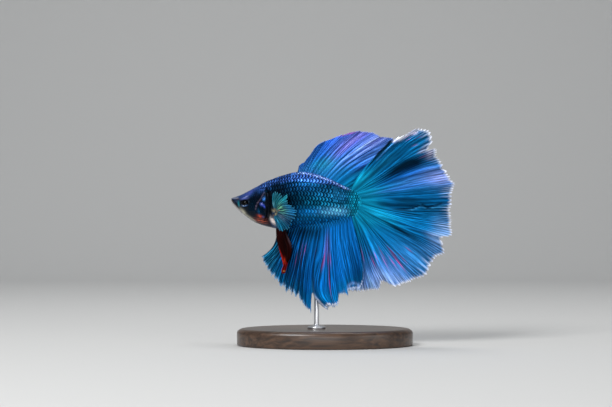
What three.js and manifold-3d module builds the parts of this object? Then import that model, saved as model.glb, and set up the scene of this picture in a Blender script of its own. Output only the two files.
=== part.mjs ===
// A male betta (Siamese fighting fish, Betta splendens, halfmoon tail) as a life-size display
// model: the fish swims on a plain oval base with one steel rod.
//
// Units are millimetres, +Z is up, the head points to -X and the fish's left side faces -Y.
// The fish is first built straight, in its own lengths: S runs along the body from snout (-) to
// tail (+), L is sideways (negative on the fish's left), Z is up from the body's axis. The last
// step bends it along its spine and sets it over the stand, whose underside holds the origin.

import * as THREE from "three";
import { mergeVertices } from "three/addons/utils/BufferGeometryUtils.js";
import Module from "manifold-3d";

const wasm = await Module();
wasm.setup();

// ---------------------------------------------------------------- driving dimensions

const AXIS_HEIGHT = 50; // body axis above the floor
const SIDE_SHIFT = -4.5; // the tail fin's plane, from the middle of the base
const BEND_START = 8; // S where the spine starts to turn, at the tail fin's root
const BEND_RADIUS = 43;
const BEND_ANGLE = THREE.MathUtils.degToRad(25);
const GAP = 0.3; // kept between neighbouring solids

const SNOUT = -36.35;
const STALK_END = 11.6;
// The body's outline in side view and its half width, at stations along S.
const STATIONS = [SNOUT, -35.8, -34.9, -33.4, -30.9, -26.5, -21.4, -15.1, -9.2, -3.4, 2, 6, 9.4, 10.8, STALK_END];
const BACK = [1.8, 2.2, 2.45, 2.85, 3.85, 5.9, 8.1, 10.1, 11.2, 10.4, 8.5, 6.5, 5.0, 4.5, 3.7];
const BELLY = [1.3, 0.05, -1.0, -2.35, -4.3, -6.9, -8.4, -9.3, -8.3, -7.5, -6.7, -5.9, -4.8, -4.1, -3.2];
const HALF_WIDTH = [0.35, 1.3, 1.8, 2.4, 3.2, 4.3, 4.9, 5.1, 4.8, 4.0, 3.0, 2.0, 1.0, 0.6, 0.4];
const WIDEST_LEVEL = 0.52; // share of the height at which the body is widest
const ROUNDNESS = 0.9; // 1 is an ellipse, less is fuller

const EYE_RADIUS = 1.7;
const EYE_AT = { s: -29.4, z: -0.05, sunk: 1.3 };

const FIN_HALF_ROOT = 0.45; // half thickness of the big fins, at the root and at the edge
const FIN_HALF_EDGE = 0.3;
const FIN_ROOT_DEPTH = 1.2; // how far a fin's root starts inside the body before it is trimmed

const BASE_HALF_LENGTH = 31;
const BASE_HALF_DEPTH = 20;
const BASE_HEIGHT = 6;
const ROD_RADIUS = 0.9;
const ROD_AT = { s: -3.6, l: 1.9 }; // where it enters the belly, on the far side of the anal fin
const ROD_IN_BODY = -3.4; // Z of its top, from the body's axis
const ROD_IN_BASE = 3.0; // Z of its foot, above the floor

// ---------------------------------------------------------------- small helpers

const clamp01 = (t) => Math.min(1, Math.max(0, t));
const mix = (a, b, t) => a + (b - a) * t;
const bump = (t, at, wide) => Math.exp(-(((t - at) / wide) ** 2));

// A smooth curve through (knots, values), with the slope at a knot taken from its neighbours.
function through(knots, values, x) {
  const last = knots.length - 1;
  const slope = (i) => {
    const a = Math.max(0, i - 1);
    const b = Math.min(last, i + 1);
    return (values[b] - values[a]) / (knots[b] - knots[a]);
  };
  let i = 0;
  while (i < last - 1 && x > knots[i + 1]) i++;
  const h = knots[i + 1] - knots[i];
  const t = clamp01((x - knots[i]) / h);
  const rise = 3 * t * t - 2 * t * t * t;
  return (
    mix(values[i], values[i + 1], rise) +
    h * t * (1 - t) * ((1 - t) * slope(i) - t * slope(i + 1))
  );
}

const back = (s) => through(STATIONS, BACK, s);
const belly = (s) => through(STATIONS, BELLY, s);
const halfWidth = (s) => through(STATIONS, HALF_WIDTH, s);

// Carries a point of the straight fish to its place on the bent spine.
function bend(p) {
  const turned = THREE.MathUtils.clamp((BEND_START - p.x) / BEND_RADIUS, 0, BEND_ANGLE);
  const straight = BEND_START - p.x - BEND_RADIUS * turned; // ahead of the bend, or behind it
  const sin = Math.sin(turned);
  const cos = Math.cos(turned);
  return p.set(
    BEND_START - BEND_RADIUS * sin - straight * cos + p.y * sin,
    BEND_RADIUS * (1 - cos) + straight * sin + p.y * cos,
    p.z,
  );
}

// A closed geometry from points and triangles, turned so that its faces point out.
function closedGeometry(points, triangles) {
  const volume = triangles.reduce((sum, [a, b, c]) => {
    const cross = new THREE.Vector3().crossVectors(points[b], points[c]);
    return sum + points[a].dot(cross);
  }, 0);
  const outward = volume < 0 ? triangles.map(([a, b, c]) => [a, c, b]) : triangles;
  return new THREE.BufferGeometry().setFromPoints(points).setIndex(outward.flat());
}

// A body lofted through rings of equally many points, closed by a fan at each end.
function loft(rings) {
  const around = rings[0].length;
  const points = rings.flat();
  const triangles = [];
  for (let r = 0; r + 1 < rings.length; r++)
    for (let k = 0; k < around; k++) {
      const a = r * around + k;
      const b = r * around + ((k + 1) % around);
      triangles.push([a, b, b + around], [a, b + around, a + around]);
    }
  for (const r of [0, rings.length - 1]) {
    const middle = rings[r].reduce((sum, p) => sum.add(p), new THREE.Vector3());
    points.push(middle.divideScalar(around));
    for (let k = 0; k < around; k++) {
      const face = [points.length - 1, r * around + k, r * around + ((k + 1) % around)];
      triangles.push(r ? face : [face[0], face[2], face[1]]);
    }
  }
  return closedGeometry(points, triangles);
}

// A thin fin around the middle surface place(u, v), u across the rays and v along them, each
// from 0 to 1. half(u, v) is its half thickness, measured along the geometry's own Y.
function web(columns, rows, place, half) {
  const sides = [1, -1].map((side) => {
    const grid = [];
    for (let i = 0; i < columns; i++)
      for (let j = 0; j < rows; j++) {
        const u = i / (columns - 1);
        const v = j / (rows - 1);
        const p = place(u, v);
        p.y += side * half(u, v);
        grid.push(p);
      }
    return grid;
  });
  const points = sides.flat();
  const at = (i, j, side) => side * columns * rows + i * rows + j;
  const triangles = [];
  const quad = (a, b, c, d) => triangles.push([a, b, c], [a, c, d]);
  for (let i = 0; i + 1 < columns; i++)
    for (let j = 0; j + 1 < rows; j++) {
      quad(at(i, j, 0), at(i + 1, j, 0), at(i + 1, j + 1, 0), at(i, j + 1, 0));
      quad(at(i, j, 1), at(i, j + 1, 1), at(i + 1, j + 1, 1), at(i + 1, j, 1));
    }
  for (let i = 0; i + 1 < columns; i++) {
    quad(at(i, 0, 0), at(i, 0, 1), at(i + 1, 0, 1), at(i + 1, 0, 0));
    quad(at(i, rows - 1, 0), at(i + 1, rows - 1, 0), at(i + 1, rows - 1, 1), at(i, rows - 1, 1));
  }
  for (let j = 0; j + 1 < rows; j++) {
    quad(at(0, j, 0), at(0, j + 1, 0), at(0, j + 1, 1), at(0, j, 1));
    const i = columns - 1;
    quad(at(i, j, 0), at(i, j, 1), at(i, j + 1, 1), at(i, j + 1, 0));
  }
  return closedGeometry(points, triangles);
}

// three.js geometry to a manifold-3d solid, and back.
function solid(geometry) {
  const bare = new THREE.BufferGeometry()
    .setAttribute("position", geometry.getAttribute("position"))
    .setIndex(geometry.index);
  const merged = mergeVertices(bare, 1e-4);
  return new wasm.Manifold(
    new wasm.Mesh({
      numProp: 3,
      vertProperties: merged.attributes.position.array,
      triVerts: new Uint32Array(merged.index.array),
    }),
  );
}

function geometryOf(made) {
  const mesh = made.simplify(0.04).getMesh();
  return new THREE.BufferGeometry()
    .setAttribute("position", new THREE.BufferAttribute(mesh.vertProperties, 3))
    .setIndex(new THREE.BufferAttribute(mesh.triVerts, 1));
}

// A prism whose outline is drawn in side view (S, Z), between two levels of L.
function sidePrism(outline, from, to) {
  const options = { depth: to - from, bevelEnabled: false, curveSegments: 8 };
  const geometry = new THREE.ExtrudeGeometry(outline, options);
  return solid(geometry.rotateX(Math.PI / 2).translate(0, to, 0));
}

const THROUGH = 40; // long enough to pass right through the fish
const sideCutter = (outline) => sidePrism(outline, -THROUGH, THROUGH);
const flankPrism = (outline, right) => (right ? sidePrism(outline, 0, 9) : sidePrism(outline, -9, 0));

// ---------------------------------------------------------------- materials

const matte = (color, roughness, metalness) =>
  new THREE.MeshStandardMaterial({ color, roughness, metalness });

const MATERIALS = {
  blueScales: matte(0x1d5fae, 0.35, 0.45),
  head: matte(0x1b2b52, 0.4, 0.35),
  jaw: matte(0x8f8a7c, 0.5, 0.1),
  eye: matte(0x0a0c10, 0.08, 0.0),
  blueFin: matte(0x1673c4, 0.45, 0.25),
  tealFin: matte(0x1795a0, 0.45, 0.25),
  redFin: matte(0x8a1410, 0.5, 0.1),
  base: matte(0x1a1714, 0.45, 0.0),
  steel: matte(0xb9bcc0, 0.3, 1.0),
};

// ---------------------------------------------------------------- body

const SECTIONS = 34;
const AROUND = 24;

// The whole body, from lips to tail stalk, grown outwards by a margin (or shrunk, if negative).
function body(grow = 0) {
  const rings = [];
  for (let i = 0; i <= SECTIONS; i++) {
    // Sections crowd towards both ends, where the outline turns fastest.
    const t = i / SECTIONS;
    const along = mix(t, (1 - Math.cos(Math.PI * t)) / 2, 0.7);
    const s = mix(SNOUT, STALK_END, along);
    const top = Math.max(back(s) + grow, belly(s) + 0.1);
    const bottom = Math.min(belly(s) - grow, back(s) - 0.1);
    const wide = Math.max(halfWidth(s) + grow, 0.1);
    const level = mix(bottom, top, WIDEST_LEVEL);
    const ring = [];
    for (let k = 0; k < AROUND; k++) {
      const angle = (2 * Math.PI * k) / AROUND;
      const up = Math.cos(angle);
      const out = Math.sin(angle);
      ring.push(
        new THREE.Vector3(
          s + grow * (2 * along - 1),
          wide * Math.sign(out) * Math.abs(out) ** ROUNDNESS,
          level + up * (up > 0 ? top - level : level - bottom),
        ),
      );
    }
    rings.push(ring);
  }
  return solid(loft(rings));
}

const wholeBody = body();
const bodyWithGap = body(GAP);

// The head ends at the shoulder, on a curve behind the gill covers.
function shoulderLine(shift) {
  const curve = new THREE.SplineCurve(
    [
      [-17.0, 13],
      [-18.2, 8],
      [-18.9, 3],
      [-18.9, -2],
      [-19.8, -6],
      [-21.8, -11],
    ].map(([s, z]) => new THREE.Vector2(s + shift, z)),
  );
  return curve.getPoints(14);
}

const FAR = 60;

function aheadOfShoulder(shift) {
  const corners = [new THREE.Vector2(-FAR, 13), new THREE.Vector2(-FAR, -11)];
  return sideCutter(new THREE.Shape([corners[0], ...shoulderLine(shift), corners[1]]));
}

const STALK_FRONT = 3.5;

function behindStation(s) {
  const box = [
    [s, -FAR],
    [FAR, -FAR],
    [FAR, FAR],
    [s, FAR],
  ];
  return sideCutter(new THREE.Shape(box.map(([x, z]) => new THREE.Vector2(x, z))));
}

// Gill cover: a rounded plate behind the cheek, a little proud of the head.
const COVER_PROUD = 0.25;
const COVER_THICK = 0.9;
const COVER_MIDDLE = new THREE.Vector2(-22.1, -0.2);

function coverOutline(grow) {
  const ring = new THREE.SplineCurve(
    [
      [-22.0, 4.6],
      [-20.4, 3.4],
      [-19.7, 0.6],
      [-20.0, -2.6],
      [-21.6, -5.0],
      [-23.7, -4.6],
      [-24.7, -1.4],
      [-23.9, 2.4],
      [-22.0, 4.6],
    ].map(([s, z]) => {
      const p = new THREE.Vector2(s, z);
      return p.add(p.clone().sub(COVER_MIDDLE).setLength(grow));
    }),
  );
  return new THREE.Shape(ring.getPoints(24).slice(0, -1));
}

const coverShell = body(COVER_PROUD).subtract(body(COVER_PROUD - COVER_THICK));
const coverBed = body(1).subtract(body(COVER_PROUD - COVER_THICK - GAP));

const gillCover = (right) => coverShell.intersect(flankPrism(coverOutline(0), right));
const gillBed = (right) => coverBed.intersect(flankPrism(coverOutline(GAP), right));

// Lower jaw: below the steep mouth cleft of a surface feeder, back to the chin.
function jawOutline(grow) {
  const points = [
    [-39, 3.4 + grow],
    [-36.6, 1.65 + grow],
    [-34.8, 0.3 + grow],
    [-33.2 + grow, -1.1 + grow],
    [-31.6 + grow, -3.2],
    [-29.4 + grow, -9],
    [-39, -9],
  ];
  return new THREE.Shape(points.map(([s, z]) => new THREE.Vector2(s, z)));
}

const lowerJaw = wholeBody.intersect(sideCutter(jawOutline(0)));

function eyeball(right, radius) {
  const out = halfWidth(EYE_AT.s) - EYE_AT.sunk;
  const ball = new THREE.SphereGeometry(radius, 16, 10);
  ball.rotateX(Math.PI / 2);
  return solid(ball.translate(EYE_AT.s, right ? out : -out, EYE_AT.z));
}

const head = [false, true].reduce(
  (made, right) => made.subtract(gillBed(right)).subtract(eyeball(right, EYE_RADIUS + GAP)),
  wholeBody.intersect(aheadOfShoulder(0)).subtract(sideCutter(jawOutline(GAP))),
);

const rodBore = new THREE.CylinderGeometry(ROD_RADIUS + GAP, ROD_RADIUS + GAP, 20, 16);
rodBore.rotateX(Math.PI / 2).translate(ROD_AT.s, ROD_AT.l, ROD_IN_BODY + GAP - 10);

const trunk = wholeBody
  .subtract(aheadOfShoulder(GAP))
  .subtract(behindStation(STALK_FRONT - GAP))
  .subtract(solid(rodBore));

const tailStalk = wholeBody.intersect(behindStation(STALK_FRONT));

// ---------------------------------------------------------------- fins

// One ray of a fin in side view: from root to tip, bowed sideways by a share of its length.
function alongRay(root, tip, bow, v) {
  const chord = tip.clone().sub(root);
  const aside = new THREE.Vector2(-chord.y, chord.x).multiplyScalar(4 * bow * v * (1 - v));
  return root.clone().addScaledVector(chord, v).add(aside);
}

// Folds are [place across the fin, height, width]. A negative height comes towards the left.
const folded = (folds, at) =>
  folds.reduce((sum, [place, height, wide]) => sum + height * bump(at, place, wide), 0);

// Notches are [place, share of the ray that is missing, width], and every other ray's web ends
// a little short of the ray's own tip.
function rayReach(notches, at, tooth) {
  return notches.reduce((reach, [place, deep, wide]) => reach - deep * bump(at, place, wide), 1 - tooth);
}

// Builds a fin as a solid, grown by a margin on both faces where it is to trim its neighbour.
function bigFin(fin, grow = 0) {
  const { columns, rows, rootAt, tipAt, bowAt, sideAt, notches, toothDepth } = fin;
  const place = (u, v) => {
    const webbed = Math.round(u * (columns - 1)) % 2;
    const root = rootAt(u);
    const tip = root.clone().lerp(tipAt(u), rayReach(notches, u, webbed * toothDepth));
    const p = alongRay(root, tip, bowAt(u), v * (1 + grow / 30));
    return new THREE.Vector3(p.x, sideAt(u, v), p.y);
  };
  const half = (u, v) => mix(FIN_HALF_ROOT, FIN_HALF_EDGE, Math.sqrt(v)) + grow;
  return solid(web(columns, rows, place, half));
}

// Tail fin: a fan of rays round the end of the stalk, from the upper edge to the lower one.
const FAN_MIDDLE = new THREE.Vector2(7.7, 0);
const FAN_FROM = 53.4; // degrees above the tail's own axis
const FAN_TO = -94;
// How far the rays reach from the fan's middle, at angles from the lower edge to the upper one.
const FAN_ANGLES = [
  -94, -87, -78, -69, -65, -58, -50, -43, -34, -27, -22, -17.5,
  -10, 0, 10, 19, 27, 33, 37.5, 41, 44, 47, 50, 53.4,
];
const FAN_REACH = [
  30.8, 31, 31.6, 32.1, 30.8, 34.6, 35.2, 37.4, 36.3, 38, 35.6, 37.6,
  36.3, 36.8, 37.9, 36.6, 36, 34.2, 37.2, 37.9, 36.9, 35.5, 30.8, 27.9,
];
const FAN_FOLDS = [
  [48.6, -1.7, 3.6],
  [38, -1.0, 6],
  [24, 1.5, 7],
  [7, -1.6, 6],
  [-1.6, 1.3, 2.2],
  [-5.5, -1.3, 2.6],
  [-20, -1.2, 6],
  [-33, 1.5, 4],
  [-41, -0.9, 4],
  [-49, 0.8, 3],
  [-61, -1.2, 6],
  [-71, 0.9, 4],
  [-82, -0.7, 4],
];
const fanAngle = (u) => mix(FAN_FROM, FAN_TO, u);

const caudal = {
  columns: 53,
  rows: 8,
  rootAt: (u) => {
    const angle = THREE.MathUtils.degToRad(mix(80, -80, u));
    return new THREE.Vector2(8.2 + 2.2 * Math.cos(angle), 4.0 * Math.sin(angle));
  },
  tipAt: (u) => {
    const angle = THREE.MathUtils.degToRad(fanAngle(u));
    const reach = through(FAN_ANGLES, FAN_REACH, fanAngle(u));
    const out = new THREE.Vector2(Math.cos(angle), Math.sin(angle));
    return FAN_MIDDLE.clone().addScaledVector(out, reach);
  },
  bowAt: (u) => 0.07 * (1 - clamp01(u / 0.3)) ** 1.5 - 0.04 * clamp01((u - 0.8) / 0.2) ** 2,
  // The upper lobe swings to the left and the lower one to the right.
  sideAt: (u, v) => {
    const twist = -3.4 * Math.sin(THREE.MathUtils.degToRad(fanAngle(u))) * v;
    return twist + folded(FAN_FOLDS, fanAngle(u)) * v ** 1.4;
  },
  notches: [
    [0.13, 0.05, 0.012],
    [0.518, 0.05, 0.012],
    [0.812, 0.04, 0.014],
  ],
  toothDepth: 0.018,
};

// A fin that stands on the back or hangs from the belly, rooted between two stations.
function medianFin(from, to, rootLevel, edge, rest) {
  const outline = new THREE.SplineCurve(edge.map(([s, z]) => new THREE.Vector2(s, z)));
  return {
    rootAt: (u) => new THREE.Vector2(mix(from, to, u), rootLevel(mix(from, to, u))),
    tipAt: (u) => outline.getPoint(u),
    ...rest,
  };
}

const DORSAL_FOLDS = [
  [0.22, -0.6, 0.06],
  [0.36, 0.6, 0.06],
  [0.5, -0.8, 0.06],
  [0.64, 0.7, 0.06],
  [0.79, -0.8, 0.06],
];
const DORSAL_EDGE = [
  [-10.2, 13.3],
  [-6.4, 16.5],
  [-2.6, 21.0],
  [2.0, 22.9],
  [7.4, 24.7],
  [12.0, 25.6],
  [16.8, 25.1],
  [19.6, 23.7],
  [24.2, 23.2],
  [25.6, 19.4],
  [23.8, 14.6],
];
const dorsal = medianFin(-10.3, 10.2, (s) => back(s) - FIN_ROOT_DEPTH, DORSAL_EDGE, {
  columns: 29,
  rows: 7,
  bowAt: (u) => 0.06 * u,
  sideAt: (u, v) => mix(0.8, 3.4, clamp01(u * 1.3)) * v ** 1.2 + folded(DORSAL_FOLDS, u) * v ** 1.4,
  notches: [[0.08, 0.1, 0.02]],
  toothDepth: 0.02,
});

const ANAL_FOLDS = [
  [0.08, 0.5, 0.05],
  [0.2, -0.7, 0.05],
  [0.3, 0.7, 0.05],
  [0.41, -0.9, 0.05],
  [0.52, 0.8, 0.035],
  [0.62, -0.9, 0.05],
  [0.73, 0.7, 0.04],
  [0.84, -0.9, 0.05],
];
// Where the rays end, from the front one to the last, on both sides of the deep notch.
const ANAL_AT = [0, 0.1, 0.2, 0.3, 0.42, 0.5, 0.54, 0.565, 0.585, 0.61, 0.67, 0.705, 0.73, 0.8, 0.9, 0.96, 1];
const ANAL_TIP_S = [-24.8, -22.9, -19.6, -15.6, -9.2, -6.2, -4.6, -3.6, 1.2, 1.9, 3.7, 4.85, 5.2, 8, 11, 13.1, 13.3];
const ANAL_TIP_Z = [
  -19.3, -23.1, -26.6, -31.2, -33.8, -36.8, -38.4, -31.8, -37.4, -36.2, -36, -34.6, -32.3, -32, -30.3, -28.2, -24,
];
const anal = {
  rootAt: (u) => {
    const s = mix(-18.6, 9.2, u ** 0.8);
    return new THREE.Vector2(s, belly(s) + FIN_ROOT_DEPTH);
  },
  tipAt: (u) => new THREE.Vector2(through(ANAL_AT, ANAL_TIP_S, u), through(ANAL_AT, ANAL_TIP_Z, u)),
  columns: 53,
  rows: 8,
  bowAt: (u) => 0.2 * (1 - clamp01(u / 0.3)) ** 1.6 - 0.05 * Math.sin(Math.PI * clamp01((u - 0.1) / 0.9)),
  sideAt: (u, v) => {
    const lean = -2.6 * clamp01((u - 0.15) / 0.4) - 0.9 * clamp01((u - 0.8) / 0.2);
    return lean * v ** 1.2 + folded(ANAL_FOLDS, u) * v ** 1.4;
  },
  notches: [
    [0.3, 0.03, 0.012],
    [0.571, 0.06, 0.014],
  ],
  toothDepth: 0.022,
};

// The tail fin's lower lobe hangs behind the anal fin, and the dorsal fin behind the upper lobe.
const analFin = bigFin(anal).subtract(bodyWithGap);
const caudalFin = bigFin(caudal).subtract(bodyWithGap).subtract(bigFin(anal, GAP));
const dorsalFin = bigFin(dorsal).subtract(bodyWithGap).subtract(bigFin(caudal, GAP));

// Pectoral fin: a rounded fan behind the gill cover, held out from the flank.
const PECTORAL_ROOT = { s: -16.6, l: 5.2, z: -2.3 };
const PECTORAL_FLARE = THREE.MathUtils.degToRad(14);
const PECTORAL_ANGLES = [-98, -67, -45, -15, 5, 22, 54, 82, 104];
const PECTORAL_REACH = [4.6, 7.0, 9.1, 9.5, 8.6, 7.4, 7.9, 6.8, 6.2];

function pectoralFin(right) {
  const place = (u, v) => {
    const degrees = mix(104, -98, u);
    const webbed = Math.round(u * 16) % 2;
    const reach = through(PECTORAL_ANGLES, PECTORAL_REACH, degrees) * (1 - 0.05 * webbed);
    const angle = THREE.MathUtils.degToRad(degrees);
    const r = mix(0.9, reach, v);
    const cupped = 0.9 * Math.sin(Math.PI * v) + 0.35 * Math.sin(7 * Math.PI * u) * v;
    return new THREE.Vector3(r * Math.cos(angle), -cupped, r * Math.sin(angle));
  };
  const fan = web(17, 5, place, () => 0.27);
  fan.rotateZ(-PECTORAL_FLARE);
  fan.translate(PECTORAL_ROOT.s, -PECTORAL_ROOT.l, PECTORAL_ROOT.z);
  if (right) mirrorSide(fan);
  return solid(fan).subtract(bodyWithGap);
}

// The same piece for the other side of the fish, with its faces still pointing out.
function mirrorSide(geometry) {
  geometry.scale(1, -1, 1);
  const index = geometry.index.array;
  for (let i = 0; i < index.length; i += 3) [index[i + 1], index[i + 2]] = [index[i + 2], index[i + 1]];
}

// Pelvic fin: a long narrow blade under the throat, on a line of [s, l, z, half width].
const PELVIC_LINE = [
  [-17.0, 1.1, -8.0, 0.9],
  [-16.6, 1.2, -9.8, 1.2],
  [-15.2, 1.6, -12.4, 2.1],
  [-13.8, 2.0, -16.2, 2.3],
  [-13.5, 2.3, -18.9, 1.5],
  [-13.6, 2.5, -21.2, 0.75],
  [-14.0, 2.6, -24.6, 0.35],
];

function pelvicFin(right) {
  const knots = PELVIC_LINE.map((_, i) => i / (PELVIC_LINE.length - 1));
  const column = (k, v) => through(knots, PELVIC_LINE.map((row) => row[k]), v);
  const place = (u, v) => {
    const s = column(0, v) + (2 * u - 1) * column(3, v);
    return new THREE.Vector3(s, -column(1, v) + 0.25 * Math.cos(2 * Math.PI * u), column(2, v));
  };
  const blade = web(4, 10, place, () => 0.27);
  if (right) mirrorSide(blade);
  return solid(blade).subtract(bodyWithGap);
}

// ---------------------------------------------------------------- assembly

const fish = new THREE.Group();
fish.position.set(0, SIDE_SHIFT, AXIS_HEIGHT);

function addFlesh(name, made, material) {
  const geometry = geometryOf(made);
  const places = geometry.getAttribute("position");
  const p = new THREE.Vector3();
  for (let i = 0; i < places.count; i++) {
    bend(p.fromBufferAttribute(places, i));
    places.setXYZ(i, p.x, p.y, p.z);
  }
  geometry.computeVertexNormals();
  const mesh = new THREE.Mesh(geometry, material.clone());
  mesh.name = name;
  fish.add(mesh);
}

addFlesh("head", head, MATERIALS.head);
addFlesh("lower_jaw", lowerJaw, MATERIALS.jaw);
addFlesh("trunk", trunk, MATERIALS.blueScales);
addFlesh("tail_stalk", tailStalk, MATERIALS.blueScales);
addFlesh("dorsal_fin", dorsalFin, MATERIALS.blueFin);
addFlesh("anal_fin", analFin, MATERIALS.blueFin);
addFlesh("caudal_fin", caudalFin, MATERIALS.blueFin);
for (const right of [false, true]) {
  const side = right ? "right" : "left";
  addFlesh(`eye_${side}`, eyeball(right, EYE_RADIUS), MATERIALS.eye);
  addFlesh(`gill_cover_${side}`, gillCover(right), MATERIALS.head);
  addFlesh(`pectoral_fin_${side}`, pectoralFin(right), MATERIALS.tealFin);
  addFlesh(`pelvic_fin_${side}`, pelvicFin(right), MATERIALS.redFin);
}

// Stand: an oval base with eased edges, and a steel rod on a small round foot.
const stand = new THREE.Group();
const rodTop = bend(new THREE.Vector3(ROD_AT.s, ROD_AT.l, 0)).add(fish.position);

function standBase() {
  const edge = 1.2;
  const foot = 0.4;
  const profile = [
    [0, 0],
    [BASE_HALF_DEPTH - foot, 0],
    [BASE_HALF_DEPTH, foot],
    [BASE_HALF_DEPTH, BASE_HEIGHT - edge],
    [BASE_HALF_DEPTH - 0.3 * edge, BASE_HEIGHT - 0.3 * edge],
    [BASE_HALF_DEPTH - edge, BASE_HEIGHT],
    [0, BASE_HEIGHT],
  ];
  const oval = new THREE.LatheGeometry(profile.map(([r, z]) => new THREE.Vector2(r, z)), 44);
  oval.rotateX(Math.PI / 2).scale(BASE_HALF_LENGTH / BASE_HALF_DEPTH, 1, 1);
  const hole = new THREE.CylinderGeometry(ROD_RADIUS + GAP, ROD_RADIUS + GAP, BASE_HEIGHT, 16);
  hole.rotateX(Math.PI / 2).translate(rodTop.x, rodTop.y, BASE_HEIGHT / 2 + ROD_IN_BASE - GAP);
  return solid(oval).subtract(solid(hole));
}

function standRod() {
  const footRadius = 3.2;
  const footHeight = 1.4;
  const profile = [
    [0, ROD_IN_BASE],
    [ROD_RADIUS, ROD_IN_BASE],
    [ROD_RADIUS, BASE_HEIGHT],
    [footRadius, BASE_HEIGHT],
    [footRadius, BASE_HEIGHT + 0.5],
    [footRadius - 0.5, BASE_HEIGHT + footHeight - 0.3],
    [ROD_RADIUS + 0.3, BASE_HEIGHT + footHeight],
    [ROD_RADIUS, BASE_HEIGHT + footHeight + 0.4],
    [ROD_RADIUS, AXIS_HEIGHT + ROD_IN_BODY],
    [0, AXIS_HEIGHT + ROD_IN_BODY],
  ];
  const rod = new THREE.LatheGeometry(profile.map(([r, z]) => new THREE.Vector2(r, z)), 16);
  return solid(rod.rotateX(Math.PI / 2).translate(rodTop.x, rodTop.y, 0));
}

for (const [name, made, material] of [
  ["stand_base", standBase(), MATERIALS.base],
  ["stand_rod", standRod(), MATERIALS.steel],
]) {
  const mesh = new THREE.Mesh(geometryOf(made), material.clone());
  mesh.geometry.computeVertexNormals();
  mesh.name = name;
  stand.add(mesh);
}

const betta = new THREE.Group();
betta.add(fish, stand);

export default betta;
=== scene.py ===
import math

import bpy
import numpy as np
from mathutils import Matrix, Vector


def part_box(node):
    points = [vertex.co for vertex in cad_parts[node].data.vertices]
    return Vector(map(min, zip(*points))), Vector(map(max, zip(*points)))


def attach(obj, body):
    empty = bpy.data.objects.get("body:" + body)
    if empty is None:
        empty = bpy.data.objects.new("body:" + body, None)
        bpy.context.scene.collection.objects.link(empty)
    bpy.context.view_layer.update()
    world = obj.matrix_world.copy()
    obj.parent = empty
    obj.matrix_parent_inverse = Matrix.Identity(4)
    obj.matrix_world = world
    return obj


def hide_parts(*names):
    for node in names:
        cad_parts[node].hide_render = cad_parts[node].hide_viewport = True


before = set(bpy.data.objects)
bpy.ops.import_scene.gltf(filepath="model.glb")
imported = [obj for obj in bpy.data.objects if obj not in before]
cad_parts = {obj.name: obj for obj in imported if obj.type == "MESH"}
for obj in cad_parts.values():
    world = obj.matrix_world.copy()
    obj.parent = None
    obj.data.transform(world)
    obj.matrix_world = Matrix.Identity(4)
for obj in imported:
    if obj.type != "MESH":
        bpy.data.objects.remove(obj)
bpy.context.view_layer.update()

# ---------------------------------------------------------------- viewpoint
# The fish is seen broadside from its left, with the lens level with the middle of its body,
# and from 0.6 m away, so that it takes up a third of the width of the view.

EYE_DROP = 0.00005  # the eye's middle lies this far below the body's axis, in metres
TAIL_PLANE = -0.0045  # where the straight rear half of the body lies across the base
VIEW_DISTANCE, VIEW_ASIDE = 0.6, -0.00665
FOCAL_LENGTH, FILM_WIDTH = 100.84, 36

eye_low, eye_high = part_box("eye_left")
body_axis = (eye_low.z + eye_high.z) / 2 + EYE_DROP

camera_data = bpy.data.cameras.new("viewpoint")
camera_data.sensor_width = FILM_WIDTH
camera_data.lens = FOCAL_LENGTH
camera = bpy.data.objects.new("viewpoint", camera_data)
camera.location = (VIEW_ASIDE, TAIL_PLANE - VIEW_DISTANCE, body_axis)
camera.rotation_euler = (math.radians(90), 0, 0)
bpy.context.scene.collection.objects.link(camera)
bpy.context.scene.camera = camera

# ---------------------------------------------------------------- studio
# A pale sweep of paper under and behind the display, lit by a large soft light over the
# viewer's left shoulder, a wide fill from the right, a low one in front for the belly and a
# strip above for the fins' edges.

LIGHTS = {  # where each stands, its width and depth, in metres, and its power in watts
    "key": ((-0.32, -0.50, 0.50), (0.28, 0.28), 4.2),
    "fill": ((0.60, -0.55, 0.12), (0.5, 0.5), 1.3),
    "low": ((-0.05, -0.75, 0.04), (0.5, 0.2), 1.2),
    "top": ((0.05, 0.12, 0.65), (0.5, 0.25), 1.8),
}
heart = Vector((0.005, 0.0, body_axis))
for name, (place, size, power) in LIGHTS.items():
    data = bpy.data.lights.new(name, "AREA")
    data.shape = "RECTANGLE"
    data.size, data.size_y = size
    data.energy = power
    light = bpy.data.objects.new(name, data)
    light.location = place
    light.rotation_euler = (heart - Vector(place)).to_track_quat("-Z", "Y").to_euler()
    bpy.context.scene.collection.objects.link(light)

AIR_COLOUR, AIR_LIGHT = (0.80, 0.84, 0.90, 1), 0.30
world = bpy.data.worlds.new("studio_air")
bpy.context.scene.world = world
world.use_nodes = True
world.node_tree.nodes["Background"].inputs["Color"].default_value = AIR_COLOUR
world.node_tree.nodes["Background"].inputs["Strength"].default_value = AIR_LIGHT
bpy.context.scene.view_settings.view_transform = "Standard"

MM = 0.001  # lengths from here on are in millimetres


def plain_material(name, colour, roughness, metallic=0.0, sockets=()):
    """A material and its shader. sockets holds more of the shader's own values by name."""
    material = bpy.data.materials.new(name)
    material.use_nodes = True
    shader = material.node_tree.nodes["Principled BSDF"]
    values = {"Base Color": (*colour, 1), "Roughness": roughness, "Metallic": metallic}
    for socket, value in {**values, **dict(sockets)}.items():
        shader.inputs[socket].default_value = value
    return material, shader


def add_node(material, kind, sockets=(), **settings):
    node = material.node_tree.nodes.new("ShaderNode" + kind)
    for key, value in settings.items():
        setattr(node, key, value)
    for socket, value in dict(sockets).items():
        node.inputs[socket].default_value = value
    return node


def join(material, *wires):
    """Runs a wire from each (node, output) to its (node, input)."""
    for source, output, target, socket in wires:
        material.node_tree.links.new(source.outputs[output], target.inputs[socket])


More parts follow.
